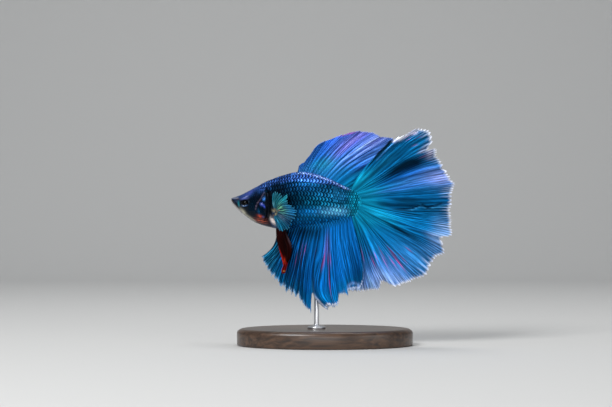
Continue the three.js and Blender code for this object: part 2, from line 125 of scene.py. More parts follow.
def mesh_piece(name, points, faces, material):
    """A smooth-shaded mesh object from points in millimetres and faces."""
    mesh = bpy.data.meshes.new(name)
    mesh.from_pydata((np.asarray(points) * MM).tolist(), [], faces)
    mesh.materials.append(material)
    mesh.polygons.foreach_set("use_smooth", [True] * len(mesh.polygons))
    piece = bpy.data.objects.new(name, mesh)
    bpy.context.scene.collection.objects.link(piece)
    return piece


paper, paper_shader = plain_material("backdrop_paper", (0.60, 0.60, 0.59), 0.9)
paper_tooth = add_node(paper, "TexNoise", {"Scale": 900})
paper_bump = add_node(paper, "Bump", {"Strength": 0.03})
join(
    paper,
    (paper_tooth, "Fac", paper_bump, "Height"),
    (paper_bump, "Normal", paper_shader, "Normal"),
)

PAPER_HALF_WIDTH, PAPER_NEAR_EDGE, PAPER_TOP = 1800, -1500, 1500
CURVE_START, CURVE_RADIUS = 500, 300
sweep = [(PAPER_NEAR_EDGE, 0)]
for a in np.linspace(0, math.pi / 2, 24):
    sweep.append((CURVE_START + CURVE_RADIUS * math.sin(a), CURVE_RADIUS * (1 - math.cos(a))))
sweep.append((CURVE_START + CURVE_RADIUS, PAPER_TOP))
sweep_points = [(x, y, z) for y, z in sweep for x in (-PAPER_HALF_WIDTH, PAPER_HALF_WIDTH)]
sweep_faces = [(2 * i, 2 * i + 1, 2 * i + 3, 2 * i + 2) for i in range(len(sweep) - 1)]
mesh_piece("backdrop", sweep_points, sweep_faces, paper)

# ---------------------------------------------------------------- display base
# An oval board of dark stained hardwood, sawn out, its upper edge rounded over with a cutter,
# then lacquered to a satin finish.

base_low, base_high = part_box("stand_base")
BOARD = (base_high - base_low) / MM
board_middle = (base_high + base_low) / 2 / MM
EDGE_ROUND = 1.6


def capped_rings(rings, spokes):
    """Faces over rings of points laid one after another, closed at each end on one more point."""
    index = np.arange(rings * spokes).reshape(rings, spokes)
    beside = np.roll(index, -1, 1)
    faces = np.stack([index[:-1], index[1:], beside[1:], beside[:-1]], -1).reshape(-1, 4).tolist()
    faces += [[rings * spokes, a, b] for a, b in zip(index[0], beside[0])]
    faces += [[rings * spokes + 1, b, a] for a, b in zip(index[-1], beside[-1])]
    return faces


def turned(name, profile, spokes, material, centre, flatten=(1, 1)):
    """A closed solid of revolution about a vertical line, from (radius, height) pairs."""
    (_, foot), *rings, (_, top) = profile
    radius, height = (np.array(column)[:, None] for column in zip(*rings))
    a = np.linspace(0, 2 * math.pi, spokes, endpoint=False)
    x = centre[0] + flatten[0] * radius * np.cos(a)
    y = centre[1] + flatten[1] * radius * np.sin(a)
    points = np.stack([x, y, height + 0 * a], -1).reshape(-1, 3)
    tips = [(centre[0], centre[1], foot), (centre[0], centre[1], top)]
    # laid from the foot up, the rings' faces would look inwards, so each is turned over
    faces = [face[:1] + face[:0:-1] for face in capped_rings(len(rings), spokes)]
    return mesh_piece(name, np.concatenate([points, tips]), faces, material)


LACQUER = {"Coat Weight": 0.3, "Coat Roughness": 0.25}
wood, wood_shader = plain_material("stained_walnut", (0.06, 0.03, 0.015), 0.35, sockets=LACQUER)
wood_place = add_node(wood, "TexCoord")
wood_stretch = add_node(wood, "Mapping", {"Scale": (60, 900, 900)})
wood_grain = add_node(wood, "TexNoise", {"Scale": 1.0, "Detail": 6, "Distortion": 0.6})
wood_bump = add_node(wood, "Bump", {"Strength": 0.12, "Distance": 0.0002})
wood_tone = add_node(wood, "ValToRGB")
dark_grain, light_grain = wood_tone.color_ramp.elements
dark_grain.position, dark_grain.color = 0.32, (0.022, 0.011, 0.006, 1)
light_grain.position, light_grain.color = 0.7, (0.10, 0.052, 0.028, 1)
join(
    wood,
    (wood_place, "Object", wood_stretch, "Vector"),
    (wood_stretch, "Vector", wood_grain, "Vector"),
    (wood_grain, "Fac", wood_tone, "Fac"),
    (wood_tone, "Color", wood_shader, "Base Color"),
    (wood_grain, "Fac", wood_bump, "Height"),
    (wood_bump, "Normal", wood_shader, "Normal"),
)

rim = BOARD.y / 2
board_profile = [(0, 0), (rim - 0.5, 0), (rim - 0.35, 0.05), (rim - 0.05, 0.35), (rim, 0.5)]
for a in np.linspace(0, math.pi / 2, 7):
    board_profile.append((rim - EDGE_ROUND * (1 - math.cos(a)), BOARD.z - EDGE_ROUND * (1 - math.sin(a))))
board_profile += [(rim - EDGE_ROUND - 0.2, BOARD.z), (rim - 6, BOARD.z), (0, BOARD.z)]
board = turned("display_base", board_profile, 160, wood, board_middle, (BOARD.x / BOARD.y, 1))
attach(board, "root")
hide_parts("stand_base")

# ---------------------------------------------------------------- display rod
# A thin ground steel rod glued into the board through a small turned collar. Its top end goes up
# into the fish's belly on the side away from the viewer.

rod_low, rod_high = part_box("stand_rod")
rod_middle = (rod_low + rod_high) / 2 / MM
rod_top = rod_high.z / MM
ROD_RADIUS, COLLAR_LIFT = 0.9, 0.02
COLLAR_RADIUS = (rod_high.x - rod_low.x) / 2 / MM
COLLAR_FLANGE = [(-0.1, 0), (0, 0.1), (0, 0.5), (-0.12, 0.68), (-0.5, 0.85)]
COLLAR_NECK = [(0.6, 1.1), (0.2, 1.3), (0.02, 1.6), (0, 1.9)]

steel, steel_shader = plain_material("ground_steel", (0.62, 0.63, 0.65), 0.28, 1.0)
steel_place = add_node(steel, "TexCoord")
steel_stretch = add_node(steel, "Mapping", {"Scale": (200, 200, 9000)})
steel_marks = add_node(steel, "TexNoise", {"Scale": 1.0, "Detail": 4})
steel_rough = add_node(steel, "MapRange", {"To Min": 0.2, "To Max": 0.42})
join(
    steel,
    (steel_place, "Object", steel_stretch, "Vector"),
    (steel_stretch, "Vector", steel_marks, "Vector"),
    (steel_marks, "Fac", steel_rough, "Value"),
    (steel_rough, "Result", steel_shader, "Roughness"),
)

foot = BOARD.z + COLLAR_LIFT
rod_profile = [(0, foot)] + [(COLLAR_RADIUS + out, foot + up) for out, up in COLLAR_FLANGE]
rod_profile += [(ROD_RADIUS + out, foot + up) for out, up in COLLAR_NECK]
rod_profile += [(ROD_RADIUS, rod_top - 0.1), (ROD_RADIUS - 0.1, rod_top), (0, rod_top)]
rod = turned("display_rod", rod_profile, 48, steel, rod_middle)
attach(rod, "root")
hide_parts("stand_rod")

# ---------------------------------------------------------------- skin of the body
# One unbroken skin over head, jaw, gill covers, trunk and tail stalk. It is wet and thin, navy
# on the cheeks and lower flanks, periwinkle along the back and grey-beige under the jaw, with
# the lips, eye sockets, cheek bone line, gill cover and gill slit raised or sunk in it.
# Some of its colour is painted light: shade round the eye sockets and in the gill slits, a highlight on each
# brow ridge, and in part the paler top of the head and the bright and dark flank patches.

# The fish is drawn straight first: s runs from snout to tail, l to its right, z up.
# Each station: s, height of the back, height of the belly, half width.
BODY = [
    (-36.35, 1.8, 1.3, 0.35), (-36.2, 2.0, 0.75, 0.8), (-35.8, 2.2, 0.05, 1.3), (-34.9, 2.45, -1.0, 1.8),
    (-33.4, 2.85, -2.35, 2.4), (-30.9, 3.85, -4.3, 3.2), (-26.5, 5.9, -6.9, 4.3), (-21.4, 8.1, -8.4, 4.9),
    (-15.1, 10.1, -9.3, 5.1), (-9.2, 11.2, -8.3, 4.8), (-3.4, 10.4, -7.5, 4.0), (2, 8.5, -6.7, 3.0),
    (6, 6.5, -5.9, 2.0), (9.4, 5.0, -4.8, 1.0), (10.8, 4.5, -4.1, 0.6), (11.6, 3.7, -3.2, 0.4),
]
STATIONS, BACK, BELLY, HALF_WIDTH = zip(*BODY)
SNOUT, STALK_END = STATIONS[0], STATIONS[-1]
COAT_DEPTH = 0.12  # how far the skin lies inside the outer face of the scales
BEND_START, BEND_RADIUS, BEND_ANGLE = 8.0, 43.0, math.radians(25)


def smooth(x):
    x = np.clip(x, 0, 1)
    return x * x * (3 - 2 * x)


def blend(a, b, t):
    return a + (b - a) * t


def within(x, low, high, soft):
    """1 between low and high, fading to 0 over soft at either end."""
    return smooth((x - low) / soft + 0.5) * smooth((high - x) / soft + 0.5)


def near(distance, width, power=2):
    """1 where the distance is 0, fading away as it passes width."""
    return np.exp(-((distance / width) ** power))


def through(knots, values, x):
    """A smooth curve through the knots, its slope at each one taken from the neighbours."""
    knots, values = np.array(knots, float), np.array(values, float)
    last = len(knots) - 1
    before, after = np.maximum(np.arange(last + 1) - 1, 0), np.minimum(np.arange(last + 1) + 1, last)
    slopes = (values[after] - values[before]) / (knots[after] - knots[before])
    i = np.clip(np.searchsorted(knots, x, side="left") - 1, 0, last - 1)
    h = knots[i + 1] - knots[i]
    t = np.clip((x - knots[i]) / h, 0, 1)
    rise = 3 * t**2 - 2 * t**3
    bowed = h * t * (1 - t) * ((1 - t) * slopes[i] - t * slopes[i + 1])
    return blend(values[i], values[i + 1], rise) + bowed


def on_spine(s, l, z):
    """Carries points of the straight fish to their place in the room, in millimetres."""
    turn = np.clip((BEND_START - s) / BEND_RADIUS, 0, BEND_ANGLE)
    ahead = BEND_START - s - BEND_RADIUS * turn
    x = BEND_START - BEND_RADIUS * np.sin(turn) - ahead * np.cos(turn) + l * np.sin(turn)
    y = BEND_RADIUS * (1 - np.cos(turn)) + ahead * np.sin(turn) + l * np.cos(turn)
    return np.stack([x, y + TAIL_PLANE / MM, z + body_axis / MM], -1)


def flesh(s, a):
    """The bare body's surface in straight coordinates, a turning from the back to the right."""
    top, bottom = through(STATIONS, BACK, s), through(STATIONS, BELLY, s)
    wide = through(STATIONS, HALF_WIDTH, s)
    level = blend(bottom, top, 0.52)
    up, out = np.cos(a), np.sin(a)
    keel = 0.95 * smooth((s + 16) / 12) * smooth(-up / 0.6)
    l = wide * np.sign(out) * np.abs(out) ** (0.9 + keel)
    z = level + up * np.where(up > 0, top - level, level - bottom)
    return l, z


def bulge(s, z, at, size, turn=0.0):
    """A soft round or oval hill, 1 at its middle; size is its half length and half height."""
    c, d = math.cos(math.radians(turn)), math.sin(math.radians(turn))
    along = ((s - at[0]) * c + (z - at[1]) * d) / size[0]
    across = (-(s - at[0]) * d + (z - at[1]) * c) / size[1]
    return np.exp(-(along**2 + across**2))


def from_line(s, z, line):
    """How far points lie from a bent line drawn on the flank."""
    nearest = np.full(np.shape(s), 1e9)
    for (s0, z0), (s1, z1) in zip(line[:-1], line[1:]):
        length2 = (s1 - s0) ** 2 + (z1 - z0) ** 2
        t = np.clip(((s - s0) * (s1 - s0) + (z - z0) * (z1 - z0)) / length2, 0, 1)
        nearest = np.minimum(nearest, np.hypot(s - s0 - t * (s1 - s0), z - z0 - t * (z1 - z0)))
    return nearest


EYE, EYE_OPENING = (-29.4, -0.05), (1.7, 1.15)
MOUTH_CLEFT = [(-36.3, 1.5), (-35.4, 1.05), (-34.5, 0.4), (-33.8, -0.4), (-33.4, -1.2)]
LOWER_LIP = [(-36.4, 1.3), (-35.85, 0.6), (-35.1, -0.2), (-34.1, -1.1), (-32.9, -2.1), (-31.5, -3.1)]
LIP_FOLD = [(-36.3, 1.6), (-34.4, 1.72), (-32.6, 1.6), (-31.9, 1.3)]
CHEEK_LINE = [(-21.3, 3.7), (-21.9, 2.5), (-22.7, 1.2), (-23.6, 0.2), (-24.2, -0.9), (-24.5, -1.9)]
GILL_EDGE = [(-22.6, -6.6), (-20.9, -5.2), (-20.1, -3.0), (-19.9, -1.4), (-19.9, 0.2), (-20.0, 2.0)]
GILL_EDGE += [(-20.4, 3.7), (-21.2, 4.9)]


def from_eye(s, z):
    """How far points lie from the middle of the eye's opening, 1 all round its rim."""
    along, up = (s - EYE[0]) / EYE_OPENING[0], (z - EYE[1]) / EYE_OPENING[1]
    return (np.abs(along) ** 2.5 + np.abs(up) ** 2.5) ** 0.4


def line_at(line, z):
    """Where a line down the flank, listed from its lower end, stands at each height."""
    places, heights = zip(*line)
    return through(heights, places, np.clip(z, heights[0], heights[-1]))


def cheek_edge(z):
    return line_at(CHEEK_LINE[::-1], z) - 0.18 * np.minimum(z - CHEEK_LINE[-1][1], 0)


def flank_of(l, start=0.5, soft=0.8):
    """0 along the fish's middle plane and 1 on its flanks."""
    return smooth((np.abs(l) - start) / soft)


SWELLINGS = [  # on each flank: height, middle, half sizes and turn in degrees
    (0.42, (-29.3, 1.75), (2.1, 0.42), 8),  # brow
    (0.12, (-32.4, 2.3), (0.9, 0.3), 20),  # rim of the nostril
    (-0.22, (-33.0, 2.15), (0.16, 0.12), 0),  # nostril
    (0.45, (-16.8, -3.0), (1.0, 1.15), 0),  # foot of the breast fin
    (0.10, (-18.0, -6.0), (0.8, 1.6), 0),  # throat
]
MEMBRANE = (-23.3, -5.9), (2.6, 1.1), -22  # the gill membrane's middle, half sizes and turn


def relief(s, l, z):
    """How far the skin stands out or sinks in, from lips to gill slit."""
    flank = flank_of(l, 0.4, 1.0)
    cleft = from_line(s, z, MOUTH_CLEFT)
    raised = 0.07 * near(cleft - 0.36, 0.18) - 0.17 * near(cleft, 0.12)
    for height, *where in SWELLINGS:
        raised += height * bulge(s, z, *where) * flank
    raised -= 0.10 * near(from_line(s, z, LIP_FOLD), 0.11) * flank
    socket = from_eye(s, z)
    raised += (0.15 * near(socket - 1.2, 0.12) - 0.55 * smooth((1.08 - socket) / 0.14)) * flank
    behind_cheek, edge = s - cheek_edge(z), line_at(GILL_EDGE, z)
    raised += 0.13 * near(from_line(s, z, CHEEK_LINE), 0.2)
    raised -= 0.12 * near(behind_cheek - 0.42, 0.16) * within(z, -3.4, 3.6, 0.8)
    cover = within(z, -5.2, 4.6, 0.9) * smooth((behind_cheek - 0.4) / 0.6)
    raised += 0.22 * cover * smooth((edge - s) / 0.12 + 0.5)
    slit = within(z, -6.3, 4.8, 0.9) * smooth((s - edge) / 0.1 + 0.3) * smooth((edge + 1.9 - s) / 1.2)
    pleats = np.sin((z - 0.35 * s) * 2 * math.pi / 0.52)
    return raised - 0.6 * slit + bulge(s, z, *MEMBRANE) * (0.10 + 0.07 * pleats)


def skin_at(s, a, out=0.0):
    """Points of the skin in the room, moved out along the skin's own face by out."""
    l, z = flesh(s, a)
    along_step, round_step = 0.02, 0.004
    l1, z1 = flesh(s + along_step, a)
    l0, z0 = flesh(s - along_step, a)
    la, za = flesh(s, a + round_step)
    lb, zb = flesh(s, a - round_step)
    forward = np.stack([np.full(np.shape(s), 2 * along_step), l1 - l0, z1 - z0], -1)
    round_ = np.stack([np.zeros(np.shape(s)), la - lb, za - zb], -1)
    face = np.cross(forward, round_)
    face /= np.maximum(np.linalg.norm(face, axis=-1, keepdims=True), 1e-9)
    lift = out + relief(s, l, z)
    return on_spine(s + face[..., 0] * lift, l + face[..., 1] * lift, z + face[..., 2] * lift)


def ink(code):
    """A linear colour from a six-figure colour code."""
    levels = [int(code[i:i + 2], 16) / 255 for i in (0, 2, 4)]
    return np.array([c / 12.92 if c <= 0.04045 else ((c + 0.055) / 1.055) ** 2.4 for c in levels])


def ground(code, place):
    """One colour at every place."""
    return np.broadcast_to(ink(code), (*np.shape(place), 3)).copy()


def wash(colour, code, strength):
    """Lays a colour over another, as strong as the mask."""
    mask = np.clip(strength, 0, 1)[..., None]
    return colour * (1 - mask) + ink(code) * mask


def patches(colour, s, z, table, mask=1.0):
    """Lays on oval patches: colour, strength, middle, half sizes and turn in degrees."""
    for code, strength, at, size, turn in table:
        colour = wash(colour, code, strength * bulge(s, z, at, size, turn) * mask)
    return colour


# The bright cyan patch low on the rear flank is partly a painted highlight, and the dark teal patches along
# the middle of the flank are partly painted shade.
FLANK_PATCHES = [
    ("1b6c9c", 0.9, (4.0, 3.2), (4.2, 2.2), -10), ("031822", 0.95, (-13.0, 1.2), (4.5, 3.4), -8),
    ("042244", 0.95, (-7.0, 6.0), (8.0, 1.9), -4), ("011826", 0.9, (-9.0, 1.6), (5.0, 1.9), 0),
    ("043c52", 0.8, (-1.0, 0.9), (4.5, 0.9), -4), ("0c6cb4", 0.9, (-4.5, -3.0), (5.5, 1.4), 2),
    ("5cb6f0", 1.1, (3.9, -2.9), (4.3, 1.4), 0),
]
CHEEK_PATCH = ("071726", 0.8, (-25.6, -0.6), (1.6, 2.4), 20)
CROWN_PATCH = ("3c62b4", 0.7, (-21.4, 6.2), (3.6, 1.5), 24)
FOREHEAD_PATCH = ("3c4a98", 0.85, (-28.0, 3.7), (2.8, 1.0), 26)
BROW_PATCHES = [
    # The small pale patch at (-29.0, 2.35) is a painted highlight on the brow ridge.
    ("5a6ab8", 0.9, (-29.4, 1.75), (1.6, 0.34), 8), ("a4aedc", 0.85, (-29.0, 2.35), (0.9, 0.2), 25),
    ("2c3a70", 0.8, (-31.2, 2.4), (1.3, 0.5), 22),
]
NAPE_PATCH = ("04060c", 0.98, (-15.2, 4.5), (3.0, 2.2), 4)
FACE_PATCHES = [
    ("151222", 0.8, (-24.4, 2.6), (0.9, 1.5), 0), ("303c58", 0.9, (-33.2, 0.8), (1.0, 0.5), -10),
    ("1a7484", 0.95, (-32.1, -0.1), (0.45, 1.15), 12), ("25291e", 0.7, (-30.2, -2.3), (1.5, 0.6), -30),
]
NOSTRIL_PATCH = ("3a1a20", 0.9, (-32.8, 1.62), (0.8, 0.2), 0)
JAW_PATCHES = [
    ("b4b09c", 0.95, (-30.5, -3.0), (1.6, 0.75), -40), ("98927e", 0.9, (-27.6, -5.2), (2.0, 0.6), -30),
]
COVER_PATCH = ("02040a", 0.95, (-21.2, 0.6), (1.3, 3.0), -8)
COVER_SPOTS = [
    ("3f8ef0", 1.2, (-20.95, 1.75), (0.62, 0.62), 0), ("9cc4f8", 1.0, (-21.1, 1.95), (0.26, 0.2), 0),
    ("5570f0", 1.2, (-21.7, -0.3), (0.64, 0.5), -12), ("b4b6f8", 1.0, (-21.75, -0.15), (0.36, 0.22), 0),
    ("4058d8", 1.0, (-20.75, -1.15), (0.3, 0.42), 30), ("0d4a74", 0.9, (-23.2, -2.7), (0.6, 1.0), 20),
]
EMBER_PATCHES = [
    ("b84220", 0.95, (-22.9, -4.5), (1.05, 0.45), -14), ("4a5488", 0.7, (-21.6, -4.7), (0.5, 0.3), 0),
]
THROAT_PATCHES = [
    ("3c3c28", 0.9, (-24.4, -7.2), (1.8, 0.4), -12), ("dccfca", 1.3, (-18.0, -6.2), (0.75, 1.35), 28),
    ("8f8464", 0.9, (-17.0, -2.4), (0.7, 0.6), -20), ("7a5c3c", 0.9, (-17.0, -4.3), (0.7, 0.4), -20),
]
BACK_BAND = [(-26, 1.4), (-12, 3.1), (-2, 2.9), (4, 1.3), (9, 0.9)]  # s, and how far down it comes


def marking_and_light(s, l, z):
    """The fish's colour under and on its scales, with painted shade and highlights in places."""
    top, bottom = through(STATIONS, BACK, s), through(STATIONS, BELLY, s)
    h = (z - bottom) / np.maximum(top - bottom, 0.3)
    rear, head, flank = smooth((s + 16) / 20), smooth((-18.6 - s) / 1.2), flank_of(l)
    colour = ground("072e52", s)
    colour = wash(colour, "04223c", (1 - rear) * within(h, 0.3, 0.8, 0.3))
    colour = wash(colour, "055a78", rear * within(h, 0.0, 0.62, 0.3))
    colour = wash(colour, "084468", rear * within(h, 0.5, 0.9, 0.3) * 0.9)
    colour = patches(colour, s, z, FLANK_PATCHES)
    colour = wash(colour, "055a98", 0.85 * smooth((0.2 - h) / 0.12) * within(s, -13, 8, 4))
    band = through(*zip(*BACK_BAND), s)
    colour = wash(colour, "345cae", 0.9 * smooth((band - top + z) / 0.8 + 0.5) * within(s, -26, 8.5, 3))
    colour = wash(colour, "7088d0", 0.8 * smooth((0.9 - top + z) / 0.6 + 0.5) * within(s, -9, 8.5, 4))
    colour = wash(colour, "0b7c9a", 0.9 * smooth((s - 6.5) / 4))
    colour = wash(colour, "03070d", head * within(h, -0.2, 0.74, 0.16))
    # The top of the head is paler: partly its own purple-lavender, partly painted light from above.
    colour = wash(colour, "1b3d70", head * within(h, 0.76, 1.2, 0.1) * 0.9)
    colour = patches(colour, s, z, [CHEEK_PATCH], flank)
    colour = patches(colour, s, z, [CROWN_PATCH], smooth((-18.1 - s) / 0.3))
    colour = patches(colour, s, z, [FOREHEAD_PATCH])
    colour = patches(colour, s, z, BROW_PATCHES, flank)
    # A painted shade line round the rim of the eye socket, where the skin sinks in.
    colour = wash(colour, "04060c", 0.9 * near(from_eye(s, z) - 1.04, 0.1) * flank)
    colour = patches(colour, s, z, [NAPE_PATCH], smooth((s + 18.3) / 0.3))
    colour = patches(colour, s, z, FACE_PATCHES, flank)
    upper_lip = near(from_line(s, z, LIP_FOLD) - 0.34, 0.3) * smooth((z - 1.5) / 0.3)
    colour = wash(colour, "85868e", 0.8 * upper_lip * smooth((-31.8 - s) / 1.2))
    colour = patches(colour, s, z, [NOSTRIL_PATCH], flank)
    chin = smooth((bottom + 1.25 + 0.35 * smooth((s + 33) / 3) - z) / 0.4) * within(s, -38, -25.4, 1.2)
    colour = wash(colour, "9a968e", 0.95 * chin)
    colour = patches(colour, s, z, JAW_PATCHES)
    colour = wash(colour, "a29a96", 1.1 * near(from_line(s, z, LOWER_LIP), 0.5, 4))
    colour = wash(colour, "1c1e26", 0.9 * near(from_line(s, z, MOUTH_CLEFT), 0.11))
    seam = near(from_line(s, z, CHEEK_LINE), 0.24) * flank
    colour = wash(colour, "6b5870", 0.85 * seam * (0.65 + 0.35 * np.sin(5.1 * z)))
    colour = patches(colour, s, z, [COVER_PATCH], flank)
    colour = patches(colour, s, z, COVER_SPOTS)
    # The gill slit and the opening below it are painted near black: partly the black gill membrane, partly
    # painted shadow in the open gill.
    slit = within(s - line_at(GILL_EDGE, z), -0.35, 2.35, 0.4)
    colour = wash(colour, "020305", 0.96 * slit * within(z, -5.0, 5.0, 1))
    colour = wash(colour, "020305", 0.95 * within(s, -20.9, -19.3, 0.5) * within(z, -7.8, -4.0, 1))
    colour = patches(colour, s, z, EMBER_PATCHES)
    stripes = 0.5 + 0.5 * np.sin((z - 0.1 * s) * 2 * math.pi / 0.62 + 1.4)
    under = bulge(s, z, (-23.3, -6.2), (2.3, 0.9), -8)
    colour = wash(colour, "b85a40", 1.2 * under * stripes)
    colour = wash(colour, "1c0c0a", 0.9 * under * (1 - stripes))
    return np.clip(patches(colour, s, z, THROAT_PATCHES), 0, 1)


def paint(piece, colour):
    """Stores the piece's colour, with any painted light and shade, at every point of its mesh."""
    layer = piece.data.attributes.new("marking_and_light", "FLOAT_COLOR", "POINT")
    values = np.concatenate([colour.reshape(-1, 3), np.ones((colour.size // 3, 1))], 1)
    layer.data.foreach_set("color", values.astype(np.float32).ravel())


SPECKLE = {"From Min": 0.3, "From Max": 0.7, "To Min": 0.7, "To Max": 1.3}
WET = {"Specular IOR Level": 0.3, "Specular Tint": (0.25, 0.45, 0.8, 1)}
WET |= {"Coat Weight": 0.03, "Coat Roughness": 0.15}
wet_skin, skin_shader = plain_material("wet_skin", (0.05, 0.12, 0.25), 0.34, 0.25, sockets=WET)
skin_colour = add_node(wet_skin, "Attribute", attribute_name="marking_and_light")
skin_place = add_node(wet_skin, "TexCoord")
skin_speckle = add_node(wet_skin, "TexNoise", {"Scale": 1600, "Detail": 3})
skin_depth = add_node(wet_skin, "MapRange", SPECKLE)
skin_tone = add_node(wet_skin, "VectorMath", operation="SCALE")
skin_grain = add_node(wet_skin, "Bump", {"Strength": 0.25, "Distance": 0.00006})
join(
    wet_skin,
    (skin_place, "Object", skin_speckle, "Vector"),
    (skin_speckle, "Fac", skin_depth, "Value"),
    (skin_colour, "Color", skin_tone, 0),
    (skin_depth, "Result", skin_tone, "Scale"),
    (skin_tone, "Vector", skin_shader, "Base Color"),
    (skin_speckle, "Fac", skin_grain, "Height"),
    (skin_grain, "Normal", skin_shader, "Normal"),
)

SKIN_AROUND = 220
LIPS_LONG, HEAD_END, STALK_START = 1.2, -18.2, 10.8
lips_end = SNOUT + LIPS_LONG
skin_s = [SNOUT + LIPS_LONG * (1 - np.cos(np.linspace(0.12, math.pi / 2, 14)))]
skin_s.append(np.linspace(lips_end, HEAD_END, 160)[1:])
skin_s.append(np.linspace(HEAD_END, STALK_START, 84)[1:])
skin_s.append(np.linspace(STALK_START, STALK_END - 0.02, 7)[1:])
skin_a = np.linspace(0, 2 * math.pi, SKIN_AROUND, endpoint=False)
grid_s, grid_a = np.meshgrid(np.concatenate(skin_s), skin_a, indexing="ij")
skin_points = skin_at(grid_s, grid_a, -COAT_DEPTH)
skin_tips = [skin_points[0].mean(0), skin_points[-1].mean(0)]
skin_colours = marking_and_light(grid_s, *flesh(grid_s, grid_a)).reshape(-1, 3)
skin = mesh_piece(
    "skin",
    np.concatenate([skin_points.reshape(-1, 3), skin_tips]),
    capped_rings(len(grid_s), SKIN_AROUND),
    wet_skin,
)
paint(skin, np.concatenate([skin_colours, skin_colours[:1], skin_colours[-1:]]))
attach(skin, "root")
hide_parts("head", "lower_jaw", "gill_cover_left", "gill_cover_right", "trunk", "tail_stalk")

# ---------------------------------------------------------------- tail fin
# A half-moon web over a dozen bony rays that fork three times and end in separate points. Its
# upper lobe swings towards the viewer, the lower one away. Turquoise at the root, royal blue and
# lavender beyond, with a white fringe and a few magenta streaks in the lower lobe. Painted shade
# lies in its fold valleys, along its crease and before its leading edge; painted highlights lie on
# its ridges and white leading edge, and in part make up its lavender.

# On every fin u runs across the rays from 0 to 1, and v out along them from root to edge.


def drift(x, beats, seed):
    """A smooth wander between -1 and 1 along x, with so many turns."""
    heights = np.random.default_rng(seed).uniform(-1, 1, beats + 3)
    place = np.clip(x, 0, 1) * beats
    i = np.floor(place).astype(int)
    return blend(heights[i], heights[i + 1], smooth(place - i))


def hills(folds, x):
    """The folds of a fin, each (middle, height, width), added up along x."""
    return sum(height * near(x - at, wide) for at, height, wide in folds)


def forked(u, v, rays, forks, seed):
    """Rays that fork on their way out: 1 on a ray and 0 between two, and each ray's own tone."""
    tones = np.random.default_rng(seed + 100)
    wander = 0.14 * drift(u, rays * 2, seed) + 0.22 * drift(u, rays, seed + 1) * np.sin(3.3 * v + 9 * u)
    place = np.clip(u * rays + wander, 0.001, rays - 0.001)
    number = np.floor(place).astype(int)
    off = place - number - 0.5
    late = 0.09 * drift(u, rays, seed + 2)
    tone = tones.uniform(-1, 1, rays)[number] * 0.25
    crowding = 1.0
    for k, at in enumerate(forks):
        grown = smooth((v - at - late) / 0.22)
        number = number * 2 + (off > 0)
        off = np.abs(off) - 0.25 / 2**k * grown
        tone = tone + grown * tones.uniform(-1, 1, rays * 2 ** (k + 1))[number] * 0.55
        crowding = crowding * (1 + grown)
    gap = np.clip(np.abs(off) * crowding, 0, 0.5)
    return 0.5 + 0.5 * np.cos(2 * math.pi * gap), tone


def edge_line(colour, v, ray, depth, code):
    """The pale margin of a fin: white ray ends, the web between them dark and clear."""
    colour = wash(colour, "041a30", smooth((v - 1 + 0.02) / 0.03) * (1 - ray) * 0.6)
    pale = smooth((v - 1 + depth) / np.maximum(depth, 0.004))
    return wash(colour, code, (0.75 * pale * ray**3 + 0.8 * smooth((v - 0.985) / 0.01) * ray))


def shell_faces(grid):
    """Faces of a thin closed sheet, from its front points' numbers; the back ones follow them."""
    n = grid.size
    front = np.stack([grid[:-1, :-1], grid[:-1, 1:], grid[1:, 1:], grid[1:, :-1]], -1).reshape(-1, 4)
    rim = np.concatenate([grid[:, 0], grid[-1, 1:], grid[-2::-1, -1], grid[0, -2:0:-1]])
    after = np.roll(rim, -1)
    return np.concatenate([front, front[:, ::-1] + n, np.stack([rim, after, after + n, rim + n], -1)])


def note(piece, name, values):
    """Stores a number at every point of the mesh."""
    layer = piece.data.attributes.new(name, "FLOAT", "POINT")
    layer.data.foreach_set("value", np.asarray(values, np.float32).ravel())


def own_map(piece, at):
    """Gives the mesh its map for baking, from a place on the map for every point."""
    layer = piece.data.uv_layers.new(name="OFBake")
    corners = np.zeros(len(piece.data.loops), np.int32)
    piece.data.loops.foreach_get("vertex_index", corners)
    layer.data.foreach_set("uv", np.asarray(at, np.float32)[corners].ravel())


